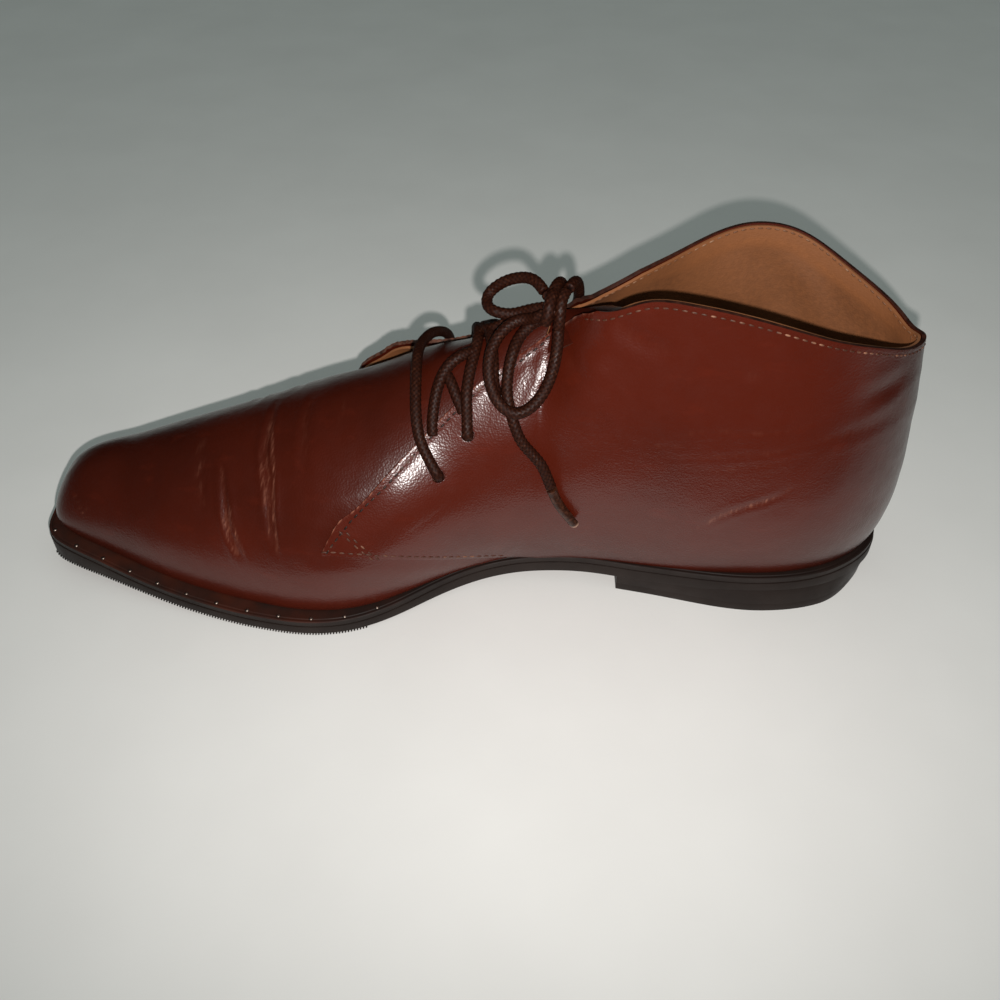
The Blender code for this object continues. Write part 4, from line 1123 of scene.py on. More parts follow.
tape_piece = with_wall("heel_tape", tape, TAPE, 0.15, lining_finish, "upper", "sock_leather",
                       {"band": same(points, 0.7)})


# --------------------------------------------------------------------------------------------------
# The stitching. Lockstitch in waxed thread, sunk a little into the leather: a row behind each
# facing, along each lower edge and below the collar on both faces, two short ones that tie each
# front corner down, and two beside the seam at the heel, outside and on the tape inside.
STITCH_SPACING = 2.45
STITCH_LENGTH = 1.75
STITCH_WIDTH = 0.62
STITCH_HEIGHT = 0.42
LONG_STITCH = (2.5, 1.9)  # spacing and length along the lower edge
FACING_MARGIN = 1.9
COLLAR_MARGIN = 1.75
LINING_MARGIN = 1.1
WAIST_MARGIN = 1.3
# The ties at each front corner, in side view: their first lower end, top and last lower end
CORNER = ((-37.2, 31.0), (-32.4, 38.4), (-24.0, 29.8))
TIE_GAP = 1.9
# Upright rows at the heel: x to look from, distance from the seam, lower end, upper end, points
BACK_ROWS = (150.0, 2.0, 16, 82, 60)
TAPE_ROWS = (120.0, 2.6, 58, 83, 30)
SEAM_Y = -1
FACING_THREAD = ((0.016, 0.0052, 0.0028), (0.20, 0.095, 0.062))
COLLAR_THREAD = ((0.060, 0.0170, 0.0080), (0.26, 0.115, 0.068))
LINING_THREAD = ((0.16, 0.066, 0.030), (0.36, 0.20, 0.115))


def surface_of(made):
    """Search tree over a finished piece, in the frame."""
    bm = bmesh.new()
    bm.from_mesh(made.data)
    tree = BVHTree.FromBMesh(bm)
    bm.free()
    return tree


def laid_on(surface, line):
    """Points of a line moved onto a surface, and the surface's outward directions there."""
    found = [surface.find_nearest(Vector(point)) for point in in_frame(line)]
    spots, outs = (np.array([row[k] for row in found], float) for k in (0, 1))
    for _ in range(3):
        outs[1:-1] = (outs[:-2] + outs[1:-1] + outs[2:]) / 3
    return spots, unit(outs)


def inside_edge(places, start, end, edge, margin, lift=1.5):
    """Line a margin inside an edge: on each rib the first point from the start that far from it."""
    share = np.linspace(0, 1, 160)
    grid = last_form(places, start[:, None] + (end - start)[:, None] * share)
    gap = distance_to(grid.reshape(-1, 3), edge)[0].reshape(grid.shape[:2])
    row, first = np.arange(len(places)), (gap >= margin).argmax(axis=1)
    before = np.maximum(first - 1, 0)
    rise = np.maximum(gap[row, first] - gap[row, before], 1e-6)
    part = (margin - gap[row, before]) / rise
    spots = grid[row, before] + (grid[row, first] - grid[row, before]) * part[:, None]
    outs = unit(np.cross(np.gradient(grid, axis=0), np.gradient(grid, axis=1))[row, first])
    from_middle = spots - np.column_stack([spots[:, 0], same(spots, 0.0), same(spots, 30.0)])
    outs *= np.sign(np.sum(outs * from_middle, axis=1))[:, None]
    good = first > 0
    return along((spots + outs * lift + lift_of(spots))[good][::9], 0.7)


def quarter_row(part, margin, lift=1.5, low=False):
    """Line a margin inside the quarters' top edge or low edge, on part of the ribs."""
    start, end, edge = QUARTER_TOP, QUARTER_LOW, top_edge
    if low:
        start, end, edge = QUARTER_LOW, QUARTER_TOP, low_edge
    return inside_edge(QUARTER_PLACES[part], start[part], end[part], edge, margin, lift)


def new_tree(name, start, sizes, finish):
    """Node tree with a geometry, sizes and a finish as named inputs, and these sockets."""
    tree = bpy.data.node_groups.new(name, "GeometryNodeTree")
    kinds = [(start, "Geometry"), *((size, "Float") for size in sizes), (finish, "Material")]
    for socket, kind in kinds:
        tree.interface.new_socket(socket, in_out="INPUT", socket_type="NodeSocket" + kind)
    tree.interface.new_socket("Made", in_out="OUTPUT", socket_type="NodeSocketGeometry")
    return tree, tree.nodes.new("NodeGroupInput").outputs


def close_tree(tree, geometry, finish):
    """End of a node tree: its instances made real and given their finish."""
    real = node(tree, "GeometryNodeRealizeInstances", i0=geometry)
    coloured = node(tree, "GeometryNodeSetMaterial", Geometry=real.outputs[0], Material=finish)
    tree.links.new(coloured.outputs[0], tree.nodes.new("NodeGroupOutput").inputs[0])
    return tree


def stitching_tree():
    """Node tree that sews along edges, each stitch laid on the side its "out" attribute gives."""
    tree, given = new_tree("stitching", "Lines", ("Spacing", "Length", "Width", "Height"), "Thread")
    curve = node(tree, "GeometryNodeMeshToCurve", i0=given["Lines"])
    evenly = node(tree, "GeometryNodeResampleCurve", {"mode": "LENGTH"}, Curve=curve.outputs[0],
                  Length=given["Spacing"])
    ball = node(tree, "GeometryNodeMeshUVSphere", Segments=8, Rings=5, Radius=0.5)
    smooth = node(tree, "GeometryNodeSetShadeSmooth", i0=ball.outputs[0])
    along_thread = node(tree, "FunctionNodeAlignRotationToVector", {"axis": "X"},
                        Vector=node(tree, "GeometryNodeInputTangent").outputs[0])
    out = node(tree, "GeometryNodeInputNamedAttribute", {"data_type": "FLOAT_VECTOR"}, Name="out")
    upright = node(tree, "FunctionNodeAlignRotationToVector", {"axis": "Z", "pivot_axis": "X"},
                   Rotation=along_thread.outputs[0], Vector=out.outputs["Attribute"])
    size = node(tree, "ShaderNodeCombineXYZ", X=given["Length"], Y=given["Width"],
                Z=given["Height"])
    set_in = node(tree, "GeometryNodeInstanceOnPoints", Points=evenly.outputs[0],
                  Instance=smooth.outputs[0], Rotation=upright.outputs[0], Scale=size.outputs[0])
    return close_tree(tree, set_in.outputs[0], given["Thread"])


def made_by(tree, name, mesh, sizes):
    """Plain mesh that a node tree makes from a mesh, with the tree's named inputs set."""
    seed = bpy.data.objects.new(name + "_seed", mesh)
    grown = seed.modifiers.new("grown", "NODES")
    grown.node_group = tree
    for item in tree.interface.items_tree:
        if item.in_out == "INPUT" and item.name in sizes:
            grown[item.identifier] = sizes[item.name]
    bpy.context.collection.objects.link(seed)
    return evaluated(seed, name)


def sewn(name, lines, thread, spacing=STITCH_SPACING, length=STITCH_LENGTH):
    """Rows of stitches along lines, each a pair of places and outward directions."""
    bm = bmesh.new()
    out = bm.verts.layers.float_vector.new("out")
    for spots, outs in lines:
        verts = [bm.verts.new(spot) for spot in spots]
        for v, direction in zip(verts, outs):
            v[out] = direction
        for pair in zip(verts, verts[1:]):
            bm.edges.new(pair)
    sizes = {"Spacing": spacing, "Length": length, "Width": STITCH_WIDTH, "Height": STITCH_HEIGHT}
    sizes = {size: value * MM for size, value in sizes.items()}
    mesh = made_by(stitching, name, mesh_of(bm, name + "_lines"), {**sizes, "Thread": thread})
    piece(name, mesh, "upper", "upper_leather")


def waxed_thread(name, thread, worn):
    """Waxed thread, twisted, worn paler here and there."""
    made, tree = new_material(name, 0.5, Specular_IOR_Level=0.35)
    pale = ramp_of(tree, noise_of(tree, 6.0, 3), 0.50, 0.66)
    return finished(made, mixed(tree, pale, thread, worn), [(noise_of(tree, 0.3, 2), 0.05)])


def on_side(x, z, side):
    """Point on the last at side-view x, z, on one side of the foot."""
    hold = MEDIAL_HOLD if side < 0 else LATERAL_HOLD
    grid = last_form(np.linspace(*hold, 500), np.linspace(0, 1, 200))
    miss = np.hypot(grid[..., 0] - x, grid[..., 2] - z)
    spot = grid[np.unravel_index(np.argmin(miss), miss.shape)]
    return spot + lift_of(spot[None])[0]


def upright_rows(surface, x, from_seam, low, high, count):
    """Two rows beside the seam of the heel."""
    heights = np.linspace(low, high, count)
    return [laid_on(surface, np.column_stack(
        [same(heights, x), same(heights, SEAM_Y + side * from_seam), heights])) for side in (-1, 1)]


stitching = stitching_tree()
dark_thread = waxed_thread("facing_thread", *FACING_THREAD)
tan_thread = waxed_thread("collar_thread", *COLLAR_THREAD)
pale_thread = waxed_thread("lining_thread", *LINING_THREAD)
outside, inside = surface_of(quarter_piece), surface_of(lining_piece)
at_facing = top_edge[:, 0] < 38
at_medial = at_facing & (QUARTER_PLACES < RIB_KEYS[len(MEDIAL_VAMP) + 8])
facing_rows = [laid_on(outside, quarter_row(part, FACING_MARGIN))
               for part in (at_medial, at_facing & ~at_medial)]
lower_rows = []
for side in (-1, 1):
    part = (low_edge[:, 1] * side > 0) & (low_edge[:, 0] < 20)
    lower_rows.append(laid_on(outside, quarter_row(part, WAIST_MARGIN, low=True)))
for side in (-1, 1):
    first, top, last = (on_side(x, z, side) for x, z in CORNER)
    shift = (last - first) / np.linalg.norm(last - first) * TIE_GAP
    for start, end in ((top, last), (top + shift, last + shift * 1.1)):
        line = np.linspace(start, end, 24)
        line[:, 1] += side * 2.0
        lower_rows.append(laid_on(outside, line))
sewn("facing_stitches", facing_rows, dark_thread)
sewn("collar_stitches", [laid_on(outside, quarter_row(~at_facing, COLLAR_MARGIN))], tan_thread)
sewn("collar_stitches_inside", [laid_on(inside, quarter_row(~at_facing, LINING_MARGIN, -3.5))],
     pale_thread)
sewn("quarter_stitches", lower_rows, tan_thread, *LONG_STITCH)
sewn("back_stitches", upright_rows(outside, *BACK_ROWS), dark_thread)
sewn("tape_stitches", upright_rows(surface_of(tape_piece), *TAPE_ROWS), pale_thread)


# --------------------------------------------------------------------------------------------------
# The midsole and its studs. A plate of black-brown leather board 1.7 mm thick between upper and
# outsole. It stands out round the upper as a narrow ledge with a groove near its rim, and small
# round-headed pins are driven into it round the forefoot.
SOLE_BROWN = (0.0100, 0.0056, 0.0042)
SOLE_WORN = (0.018, 0.0112, 0.0090)
LEDGE_FRONT = (0.056, 0.0100, 0.0030)
LEDGE_BEHIND = (0.014, 0.0058, 0.0038)
BRIGHT_NICKEL, DULL_NICKEL = (0.34, 0.28, 0.24), (0.17, 0.13, 0.105)
LEDGE_TOP = MIDSOLE_LOW + MIDSOLE_THICK
LEDGE_UNDER = MIDSOLE_LOW - 0.24
# The ledge from its middle over the groove to its rim: in from the sole's edge, height over its top
LEDGE_RINGS = (
    (14.0, 0.0), (7.0, 0.0), (1.85, 0.0), (1.65, -0.22), (1.35, -0.26), (1.2, -0.04),
    (0.75, 0.04), (0.5, -0.04), (0.33, -0.25),
)
STUD_R = 0.74
STUD_FLATNESS = 0.62
STUD_SPACING = 10.4
STUD_IN = 1.9             # in from the sole's edge
STUD_FROM, STUD_TO = -24.2, -11.8    # the studs end here behind the ball: medial x, lateral x


def sole_board(name, roughness, worn, worn_behind=None):
    """Compressed leather board, stained and burnished: fine fibres along it, edges rubbed paler."""
    made, tree = new_material(name, roughness, Specular_IOR_Level=0.25)
    fibres = noise_of(tree, 3.0, 4, 0.6, (0.25, 0.25, 2.2))
    if worn_behind:
        x = node(tree, "ShaderNodeSeparateXYZ", i0=object_place(tree)).outputs["X"]
        worn = mixed(tree, ramp_of(tree, x, -0.07, 0.0), worn, worn_behind)
    tone = mixed(tree, ramp_of(tree, noise_of(tree, 18, 3), 0.35, 0.7), SOLE_BROWN, worn)
    tone = mixed(tree, ramp_of(tree, fibres, 0.60, 0.80, 0.0, 0.5), tone, worn)
    dull = ramp_of(tree, noise_of(tree, 7, 3), 0.3, 0.7, roughness - 0.06, roughness + 0.10)
    return finished(made, tone, [(fibres, 0.05), (noise_of(tree, 0.6, 2), 0.03)], dull)


def ring_sole(name, cad_node, rings, low_rings, finish, low=underside):
    """Solid with a stepped rim: rings from the middle of its top, over its rim, to underneath."""
    bm = bmesh.new()
    rows = []
    for table, profile in ((rings, underside), (low_rings, low)):
        for inset, lift in table:
            edge = outline(inset)
            heights = profile(edge[:, 0]) + lift
            rows.append([bm.verts.new((x, y, z)) for (x, y), z in zip(edge, heights)])
    for above, below in zip(rows, rows[1:]):
        for i in range(len(above)):
            j = (i + 1) % len(above)
            bm.faces.new((above[i], below[i], below[j], above[j]))
    # Top and bottom: a strip of quads straight across, from the toe to the heel
    for row, turn in ((rows[0], 1), (rows[-1], -1)):
        for k in range(len(row) // 2 - 1):
            bm.faces.new((row[-1 - k], row[k], row[k + 1], row[-2 - k])[::turn])
    bmesh.ops.recalc_face_normals(bm, faces=bm.faces)
    return piece(name, to_frame(bm, name, 35), cad_node, "sole_leather", finish)


def pins_tree():
    """Node tree that stands a small domed pin on each point of its input."""
    tree, given = new_tree("pins", "Places", ("Radius", "Flatness"), "Metal")
    head = node(tree, "GeometryNodeMeshUVSphere", Segments=14, Rings=8, Radius=1.0)
    smooth = node(tree, "GeometryNodeSetShadeSmooth", i0=head.outputs[0])
    height = maths(tree, "MULTIPLY", given["Radius"], given["Flatness"])
    size = node(tree, "ShaderNodeCombineXYZ", X=given["Radius"], Y=given["Radius"], Z=height)
    driven = node(tree, "GeometryNodeInstanceOnPoints", Points=given["Places"],
                  Instance=smooth.outputs[0], Scale=size.outputs[0])
    return close_tree(tree, driven.outputs[0], given["Metal"])


ledge_finish = sole_board("ledge_board", 0.62, LEDGE_FRONT, LEDGE_BEHIND)
edge_finish = sole_board("sole_board", 0.46, SOLE_WORN)
midsole = ring_sole(
    "midsole_ledge", "midsole", [(inset, LEDGE_TOP + lift) for inset, lift in LEDGE_RINGS],
    [(0.3, MIDSOLE_LOW - 0.10), *((inset, LEDGE_UNDER) for inset in (0.42, 7.0, 14.0))],
    ledge_finish)
midsole.data.materials.append(edge_finish)
for face in midsole.data.polygons:
    face.material_index = int(abs(face.normal.z) < 0.6)

pin_metal, tree = new_material("nickel_pin", 0.42, Metallic=1.0)
tarnish = ramp_of(tree, noise_of(tree, 0.8, 3), 0.4, 0.7)
finished(pin_metal, mixed(tree, tarnish, BRIGHT_NICKEL, DULL_NICKEL),
         [(noise_of(tree, 0.3, 2), 0.02)])
turned = np.roll(outline(STUD_IN, 2400), 1200, axis=0)     # starts and ends at the heel
ahead = turned[turned[:, 0] < np.where(turned[:, 1] < 0, STUD_FROM, STUD_TO)]
run = run_of(ahead)
at = np.linspace(run[0], run[-1], int(run[-1] / STUD_SPACING) + 1)
places = bmesh.new()
for x, y in zip(*(np.interp(at, run, ahead[:, k]) for k in (0, 1))):
    places.verts.new(in_frame((x, y, float(underside(x)) + LEDGE_TOP + 0.05)))
pins = made_by(pins_tree(), "ledge_pins", mesh_of(places, "pin_places"),
               {"Radius": STUD_R * MM, "Flatness": STUD_FLATNESS, "Metal": pin_metal})
piece("ledge_pins", pins, "midsole", "sole_leather")


# --------------------------------------------------------------------------------------------------
# The outsole. 3.3 mm of hard rubber-faced board, its edge trimmed square and waxed, with fine ribs
# across the tread under the forefoot that run out through the edge.
RIB_PITCH = 0.92
RIB_WIDTH = 0.48
RIB_DROP = 0.34
TOE_THICKER = 3.4         # the tread is this much thicker at the tip of the toe ...
WAIST_THICKER = 1.0       # ... and this much from the waist back
TREAD_FROM, TREAD_TO = -134.5, -27.0
TREAD_OUT = 0.22          # the ribs end this far outside the sole's edge


def tread_height(x):
    """Height of the tread above the floor."""
    x = np.asarray(x, float)
    thicker = TOE_THICKER * smoothstep(-96, -138, x), WAIST_THICKER * smoothstep(-32, 6, x)
    return underside(x) - thicker[0] - thicker[1]


def ribs_tree():
    """Node tree that lays a rib across each edge of its input, over that edge's length."""
    tree, given = new_tree("ribs_across", "Lines", ("Width",), "Rubber")
    curve = node(tree, "GeometryNodeMeshToCurve", i0=given["Lines"])
    profile = node(tree, "GeometryNodeCurvePrimitiveCircle", Resolution=8)
    tree.links.new(maths(tree, "MULTIPLY", given["Width"], 0.5), profile.inputs["Radius"])
    swept = node(tree, "GeometryNodeCurveToMesh", i0=curve.outputs[0], i1=profile.outputs[0])
    swept.inputs["Fill Caps"].default_value = True
    return close_tree(tree, swept.outputs[0], given["Rubber"])


ring_sole(
    "outsole_board", "outsole",
    [(14.0, OUTSOLE_THICK), (0.3, OUTSOLE_THICK), (0.10, OUTSOLE_THICK - 0.08),
     (0.0, OUTSOLE_THICK - 0.3)],
    [(0.0, RIB_DROP + 0.25), (0.2, RIB_DROP + 0.03),
     *((inset, RIB_DROP) for inset in (0.8, 7.0, 14.0))],
    edge_finish, tread_height)
edge = outline(-TREAD_OUT, 1200)
lines = bmesh.new()
for x in np.arange(TREAD_FROM, TREAD_TO, RIB_PITCH):
    crossing = []
    for (xa, ya), (xb, yb) in zip(np.roll(edge, 1, axis=0), edge):
        if (xa - x) * (xb - x) <= 0 and xa != xb:
            crossing.append(ya + (yb - ya) * (x - xa) / (xb - xa))
    z = float(tread_height(x)) + RIB_WIDTH / 2
    ends = [lines.verts.new(in_frame((x, y, z))) for y in (min(crossing), max(crossing))]
    lines.edges.new(ends)
tread = made_by(ribs_tree(), "tread_ribs", mesh_of(lines, "rib_lines"),
                {"Width": RIB_WIDTH * MM, "Rubber": edge_finish})
piece("tread_ribs", tread, "outsole", "sole_leather")


# --------------------------------------------------------------------------------------------------
# The heel. Thin layers of leather board, stacked, trimmed to the sole's outline and waxed, with a
# rubber top piece under them.
HEEL_INSET = 0.4
TOP_PIECE = 2.6           # rubber layer on the floor
HEEL_CUT = 1.4            # how far its foot is cut in at the back
HEEL_CUT_X, HEEL_CUT_Z = (122.0, 140.0), (0.0, 9.0)
HEEL_SPREAD = 2.0         # how far its foot is spread on the inner side
SPREAD_FRONT_X, SPREAD_BACK_X = (56.0, 100.0), (118.0, 134.0)
SPREAD_Y, SPREAD_Z = (0.0, -14.0), (0.0, 11.0)
HEEL_MIDDLE = (88.0, 1.0)


def heel_layer(name, low, high, finish):
    """One layer of the heel between two height profiles, cut straight at the breast."""
    mesh = plate(name, outline(HEEL_INSET), low, high, 0.10, BREAST_X)
    for v in mesh.vertices:
        x, y, z = np.array(v.co) / MM + ORIGIN
        cut = (1 - smoothstep(*HEEL_CUT_Z, z)) * smoothstep(*HEEL_CUT_X, x)
        away = Vector((x - HEEL_MIDDLE[0], y - HEEL_MIDDLE[1], 0)).normalized()
        v.co -= away * float(HEEL_CUT * cut * MM)
        inner = smoothstep(*SPREAD_FRONT_X, x) * (1 - smoothstep(*SPREAD_BACK_X, x))
        inner *= smoothstep(*SPREAD_Y, y)
        v.co.y -= float(HEEL_SPREAD * (1 - smoothstep(*SPREAD_Z, z)) * inner * MM)
    piece(name, mesh, "heel", "heel_stack", finish)


heel_layer("top_piece", lambda x: 0.0, lambda x: TOP_PIECE, edge_finish)
heel_layer("stacked_heel", lambda x: TOP_PIECE + 0.02, above_sole(0.10),
           sole_board("heel_stack", 0.48, SOLE_WORN))


# --------------------------------------------------------------------------------------------------
# The laces. One round cord braided from dark brown polyester, run through three holes a side and
# tied in a bow on the instep. A film tip is shrunk over each of its two ends.
LACE = 3.4
STRANDS = 6               # strands side by side round the cord, each way
BRAID_PITCH = 1.55        # distance along the cord from one strand to the next
BRAID_DEPTH = 0.42
WEAVE = 0.28              # how far a strand dips under the next, as a share of its crown
# Dark of the grooves between the braid's strands: painted shade
LACE_GROOVE_SHADE = (0.0050, 0.0016, 0.0012)
LACE_BROWN = (0.026, 0.0062, 0.0026)
LACE_FLECK = (0.052, 0.0165, 0.0082)
TIP_R = 1.62
TIP_BROWN, TIP_WORN = (0.022, 0.0066, 0.0032), (0.058, 0.0190, 0.0095)
TIP_PALE = (0.26, 0.15, 0.11)
TIP_SEAM = 2.2            # where the film overlaps round the tip, in radians
# Routes along the middle of the lace, from the medial side to the lateral side
BAR_1 = (
    (-4.2, -28.2, 53.6), (-6.6, -26.4, 58.2), (-8.8, -23.6, 62.4), (-10.0, -19.4, 67.4),
    (-10.4, -13.6, 71.8), (-10.6, -7.4, 74.8), (-10.7, -1.0, 76.2), (-10.4, 5.6, 75.6),
    (-9.4, 11.6, 74.2), (-7.8, 17.6, 72.4), (-5.8, 23.0, 69.6), (-4.2, 27.4, 66.2),
    (-3.4, 30.8, 62.2), (-3.4, 33.6, 57.8), (-3.8, 35.8, 54.0),
)
BAR_2 = (
    (4.9, -23.0, 63.6), (4.8, -21.6, 67.6), (4.6, -18.0, 73.4), (5.4, -12.4, 78.4),
    (6.6, -7.6, 81.6), (7.4, -3.0, 83.4), (7.4, 2.0, 83.2), (7.0, 7.0, 80.8), (6.7, 12.0, 77.8),
    (6.4, 16.8, 75.2), (6.1, 20.8, 72.5), (5.8, 24.6, 68.8), (5.5, 27.7, 65.1), (5.2, 30.2, 61.9),
)
BAR_3 = (
    (13.8, 24.6, 69.6), (13.2, 21.9, 72.6), (12.0, 18.0, 75.6), (9.8, 11.5, 79.2),
    (8.8, 5.2, 82.6), (9.8, 0.2, 85.0), (13.0, -1.8, 87.2), (16.8, -2.2, 89.2), (20.2, -2.2, 90.8),
    (23.2, -2.2, 92.4), (26.0, -4.0, 95.0),
)
BAR_4 = (
    (12.5, -16.9, 77.8), (12.2, -14.0, 81.6), (11.9, -9.9, 84.3), (11.4, -5.6, 85.6),
    (10.8, -1.6, 85.6),
)
UNDER_A = (
    (-5.4, -21.4, 62.4), (-5.4, -19.6, 65.6), (-5.0, -16.9, 69.2), (-4.2, -13.9, 72.8),
    (-2.9, -11.0, 75.6), (-0.9, -8.6, 78.0), (1.6, -7.2, 79.8), (4.4, -6.8, 81.2),
    (6.9, -7.5, 82.4),
)
UNDER_B = (
    (3.6, -18.6, 68.6), (2.2, -16.6, 71.1), (1.0, -14.6, 73.2), (-0.2, -12.3, 75.1),
    (-1.8, -9.7, 76.4),
)
LOOP_NEAR = (
    (24.8, -10.8, 96.0), (22.4, -8.8, 94.2), (19.2, -8.0, 93.2), (15.8, -9.2, 91.6),
    (12.6, -12.4, 88.6), (11.0, -17.0, 83.9), (11.8, -20.4, 78.8), (14.6, -23.2, 74.8),
    (18.6, -24.2, 72.8), (22.8, -22.8, 73.8), (26.8, -19.8, 77.8), (29.0, -17.4, 83.4),
    (30.0, -14.8, 88.8), (30.2, -12.8, 93.4),
)
LOOP_TOP = (
    (26.2, -5.6, 100.9), (23.2, -1.4, 102.2), (18.0, 1.8, 100.8), (13.4, 3.0, 98.0),
    (10.4, 2.4, 95.0), (10.4, -1.0, 93.6), (12.8, -3.6, 93.2), (16.4, -4.0, 92.8),
    (20.4, -4.6, 94.0), (24.2, -6.2, 96.0), (27.8, -8.0, 97.6),
)
END_NEAR = (
    (28.2, -7.6, 94.0), (24.4, -6.2, 91.8), (20.2, -7.6, 88.4), (17.8, -12.2, 85.6),
    (16.4, -15.8, 80.4), (16.3, -18.9, 75.0), (17.8, -21.8, 69.2), (20.4, -24.0, 62.8),
    (23.3, -24.6, 58.9), (26.3, -25.5, 55.2), (28.0, -26.0, 51.4), (29.5, -26.7, 47.4),
)
TIP_NEAR = ((29.65, -26.8, 46.95), (31.4, -27.1, 42.4), (34.2, -27.3, 37.6), (37.0, -27.1, 33.2))
END_FAR = (
    (32.9, -6.0, 102.2), (34.4, -2.0, 101.8), (35.7, 2.4, 99.2), (36.4, 5.8, 95.2),
    (36.8, 9.6, 91.2), (36.8, 14.6, 85.6), (35.8, 19.8, 79.0), (35.2, 24.4, 72.2),
    (34.4, 28.7, 64.6), (34.1, 32.6, 57.2), (34.2, 35.2, 50.3),
)
TIP_FAR = ((34.25, 35.35, 49.8), (34.7, 36.7, 43.1), (35.6, 37.1, 36.0))
# The knot: a turn round the middle, and the strands that leave it over the far side
KNOT = (
    ((26.4, -13.2, 95.4), (27.0, -13.4, 98.2), (27.8, -10.8, 101.3), (29.0, -7.2, 101.6),
     (30.6, -4.8, 99.4), (30.8, -5.4, 96.6)),
    ((30.2, -13.0, 93.6), (30.4, -12.6, 97.2), (30.9, -10.2, 100.8), (32.0, -7.0, 101.8)),
    ((24.2, -10.6, 95.8), (26.2, -11.4, 97.2), (28.8, -11.2, 98.0), (31.0, -9.4, 97.4)),
    ((27.4, -9.2, 98.4), (28.2, -7.8, 101.0), (29.4, -4.8, 102.2), (30.6, -1.2, 101.4),
     (31.4, 2.2, 98.6), (31.8, 4.6, 95.0), (31.8, 5.4, 91.6)),
    ((26.6, -5.8, 100.6), (28.0, -7.4, 99.6), (29.6, -8.6, 97.0), (28.4, -7.8, 94.4)),
)


def frames(line):
    """Tangents and twist-free normals along a line."""
    tangent = unit(np.gradient(line, axis=0))
    normals = [unit(np.cross(tangent[0], (0.31, 0.52, 0.80)))]
    for i in range(len(line) - 1):
        step = line[i + 1] - line[i]
        mirrored = normals[-1] - step * (2 / (step @ step)) * (step @ normals[-1])
        turned = tangent[i] - step * (2 / (step @ step)) * (step @ tangent[i])
        gap = tangent[i + 1] - turned
        size = gap @ gap
        normals.append(mirrored - gap * (2 / size) * (gap @ mirrored) if size > 1e-12 else mirrored)
    normals = np.array(normals)
    return tangent, normals, np.cross(tangent, normals)


def add_tube(bm, line, radii, attribute, values):
    """Closed tube of rings round a line, with a radius and a stored value for each point."""
    _, first, second = frames(line)
    angle = np.linspace(0, 2 * np.pi, radii.shape[1], endpoint=False)
    rings = []
    for centre, a, b, radius, value in zip(line, first, second, radii, values):
        spots = centre + radius[:, None] * (np.cos(angle)[:, None] * a + np.sin(angle)[:, None] * b)
        ring = [bm.verts.new(spot) for spot in spots]
        for v, number in zip(ring, value):
            v[attribute] = float(number)
        rings.append(ring)
    for below, above in zip(rings, rings[1:]):
        for i in range(len(angle)):
            j = (i + 1) % len(angle)
            bm.faces.new((below[i], below[j], above[j], above[i]))
    for ring, centre, turn in ((rings[0], line[0], -1), (rings[-1], line[-1], 1)):
        middle = bm.verts.new(centre)
        middle[attribute] = 0.0
        for i in range(len(angle)):
            bm.faces.new((ring[i], ring[(i + 1) % len(angle)], middle)[::turn])


def braided(name, routes, cad_node, spacing=0.3, around=30):
    """Piece of braided lace along one or more routes, and the last line that it follows."""
    bm = bmesh.new()
    rise_layer = bm.verts.layers.float.new("rise")
    turn = STRANDS * np.linspace(0, 1, around, endpoint=False)
    for route in routes:
        line = along(route, spacing)
        reach = np.arange(len(line))[:, None] * spacing / BRAID_PITCH
        ways = turn + reach, turn - reach
        weave = WEAVE * np.cos(np.pi * ways[0]) * np.cos(np.pi * ways[1])
        crowns = [np.sqrt(1 - (2 * (way - np.round(way))) ** 2) for way in ways]
        rise = np.maximum(crowns[0] * (1 - WEAVE + weave), crowns[1] * (1 - WEAVE - weave))
        radii = LACE / 2 - BRAID_DEPTH * (1 - rise)
        radii[[0, -1]] *= 0.8
        add_tube(bm, line, radii, rise_layer, rise)
    bmesh.ops.recalc_face_normals(bm, faces=bm.faces)
    return piece(name, to_frame(bm, name, 180), cad_node, "lace", lace_finish), line


def through(hole, route_end):
    """Points that take a lace in through a hole to the end of its route outside."""
    spot, normal = HOLES[hole]
    outside_spot = spot + normal * 1.7 + (np.array(route_end) - spot) * 0.25
    return [spot - normal * 3.2, spot - normal * 0.6, outside_spot]


def film_tip(name, route, cad_node):
    """Film tip: pressed a little flat, with an overlap seam along it and a lighter cut end."""
    line = along(route, 0.3)
    angle = np.linspace(0, 2 * np.pi, 28, endpoint=False)
    share = np.linspace(0, 1, len(line))[:, None]
    flat = 1 + 0.16 * smoothstep(0.3, 1, share) * np.cos(2 * angle)
    seam = 0.07 * np.exp(-(((angle - TIP_SEAM) / 0.25) ** 2))
    radii = (TIP_R - 0.10 * smoothstep(0.0, 0.12, share)) * flat + seam
    seam_line = 0.55 * np.exp(-(((angle - TIP_SEAM) / 0.12) ** 2))
    pale = np.maximum(smoothstep(0.955, 0.975, share), seam_line)
    bm = bmesh.new()
    add_tube(bm, line, radii, bm.verts.layers.float.new("rise"), pale)
    bmesh.ops.recalc_face_normals(bm, faces=bm.faces)
    return piece(name, to_frame(bm, name, 50), cad_node, "aglet", tip_finish)


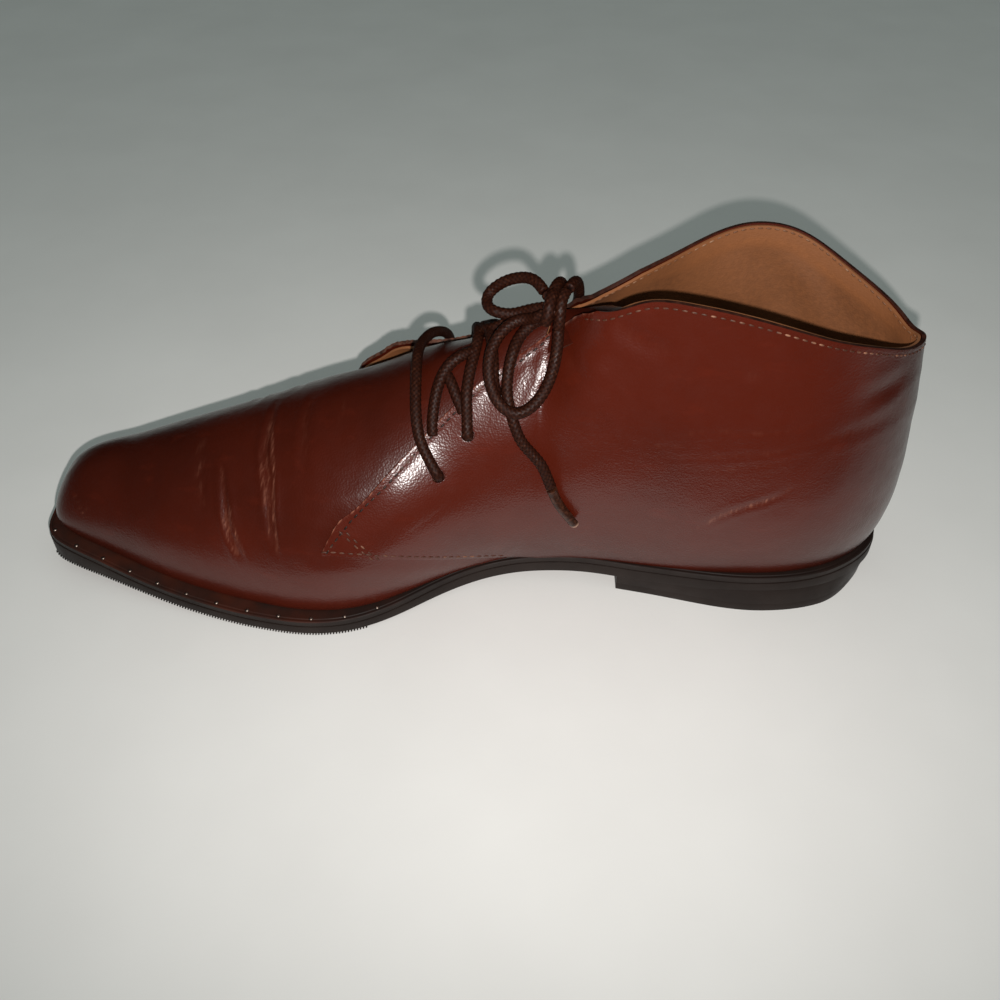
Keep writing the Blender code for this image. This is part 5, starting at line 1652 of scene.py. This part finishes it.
def free_lace(name, cad_node, route):
    """Free stretch of lace, in place of its plain tube."""
    made, line = braided(name, [route], cad_node)


lace_finish, tree = new_material("braided_lace", 0.55, Specular_IOR_Level=0.12)
rise = attribute_of(tree, "rise")
# painted shade: the braid's colour goes dark in the grooves between its strands
body = mixed(tree, ramp_of(tree, rise, 0.25, 0.95), LACE_GROOVE_SHADE, LACE_BROWN)
fleck = maths(tree, "MULTIPLY", ramp_of(tree, noise_of(tree, 1.1, 2), 0.56, 0.68),
              ramp_of(tree, rise, 0.55, 0.95), clamp=True)
finished(lace_finish, mixed(tree, fleck, body, LACE_FLECK), [(noise_of(tree, 0.35, 2), 0.05)],
         ramp_of(tree, noise_of(tree, 3.0), 0.35, 0.7, 0.42, 0.68))
tip_finish, tree = new_material("film_tip", 0.35, Coat_Weight=0.15, Coat_Roughness=0.12,
                                Specular_IOR_Level=0.2)
worn = mixed(tree, ramp_of(tree, noise_of(tree, 1.2, 3), 0.45, 0.65), TIP_BROWN, TIP_WORN)
finished(tip_finish, mixed(tree, attribute_of(tree, "rise"), worn, TIP_PALE),
         [(noise_of(tree, 1.6, 2, 0.5, (1.0, 1.0, 0.4)), 0.12)])

# The crossings, each through one or two holes, and the two ends that run under them
bars = [
    [*through(0, BAR_1[0]), *BAR_1[1:-1], *through(3, BAR_1[-1])[::-1]],
    [*through(1, BAR_2[0]), *BAR_2[1:-1], *through(4, BAR_2[-1])[::-1]],
    [*through(5, BAR_3[0]), *BAR_3[1:]],
    [*through(2, BAR_4[0]), *BAR_4[1:]],
    UNDER_A,
    UNDER_B,
]
braided("lace_crossings", bars, "lace_bars")
knot, _ = braided("bow_knot", KNOT, "lace_knot")
tip_near = film_tip("film_tip_near", TIP_NEAR, "lace_tip_near")
tip_far = film_tip("film_tip_far", TIP_FAR, "lace_tip_far")
free_lace("bow_loop_near", "lace_loop_near", LOOP_NEAR)
free_lace("bow_loop_top", "lace_loop_top", LOOP_TOP)
free_lace("lace_near", "lace_end_near", END_NEAR)
free_lace("lace_far", "lace_end_far", END_FAR)
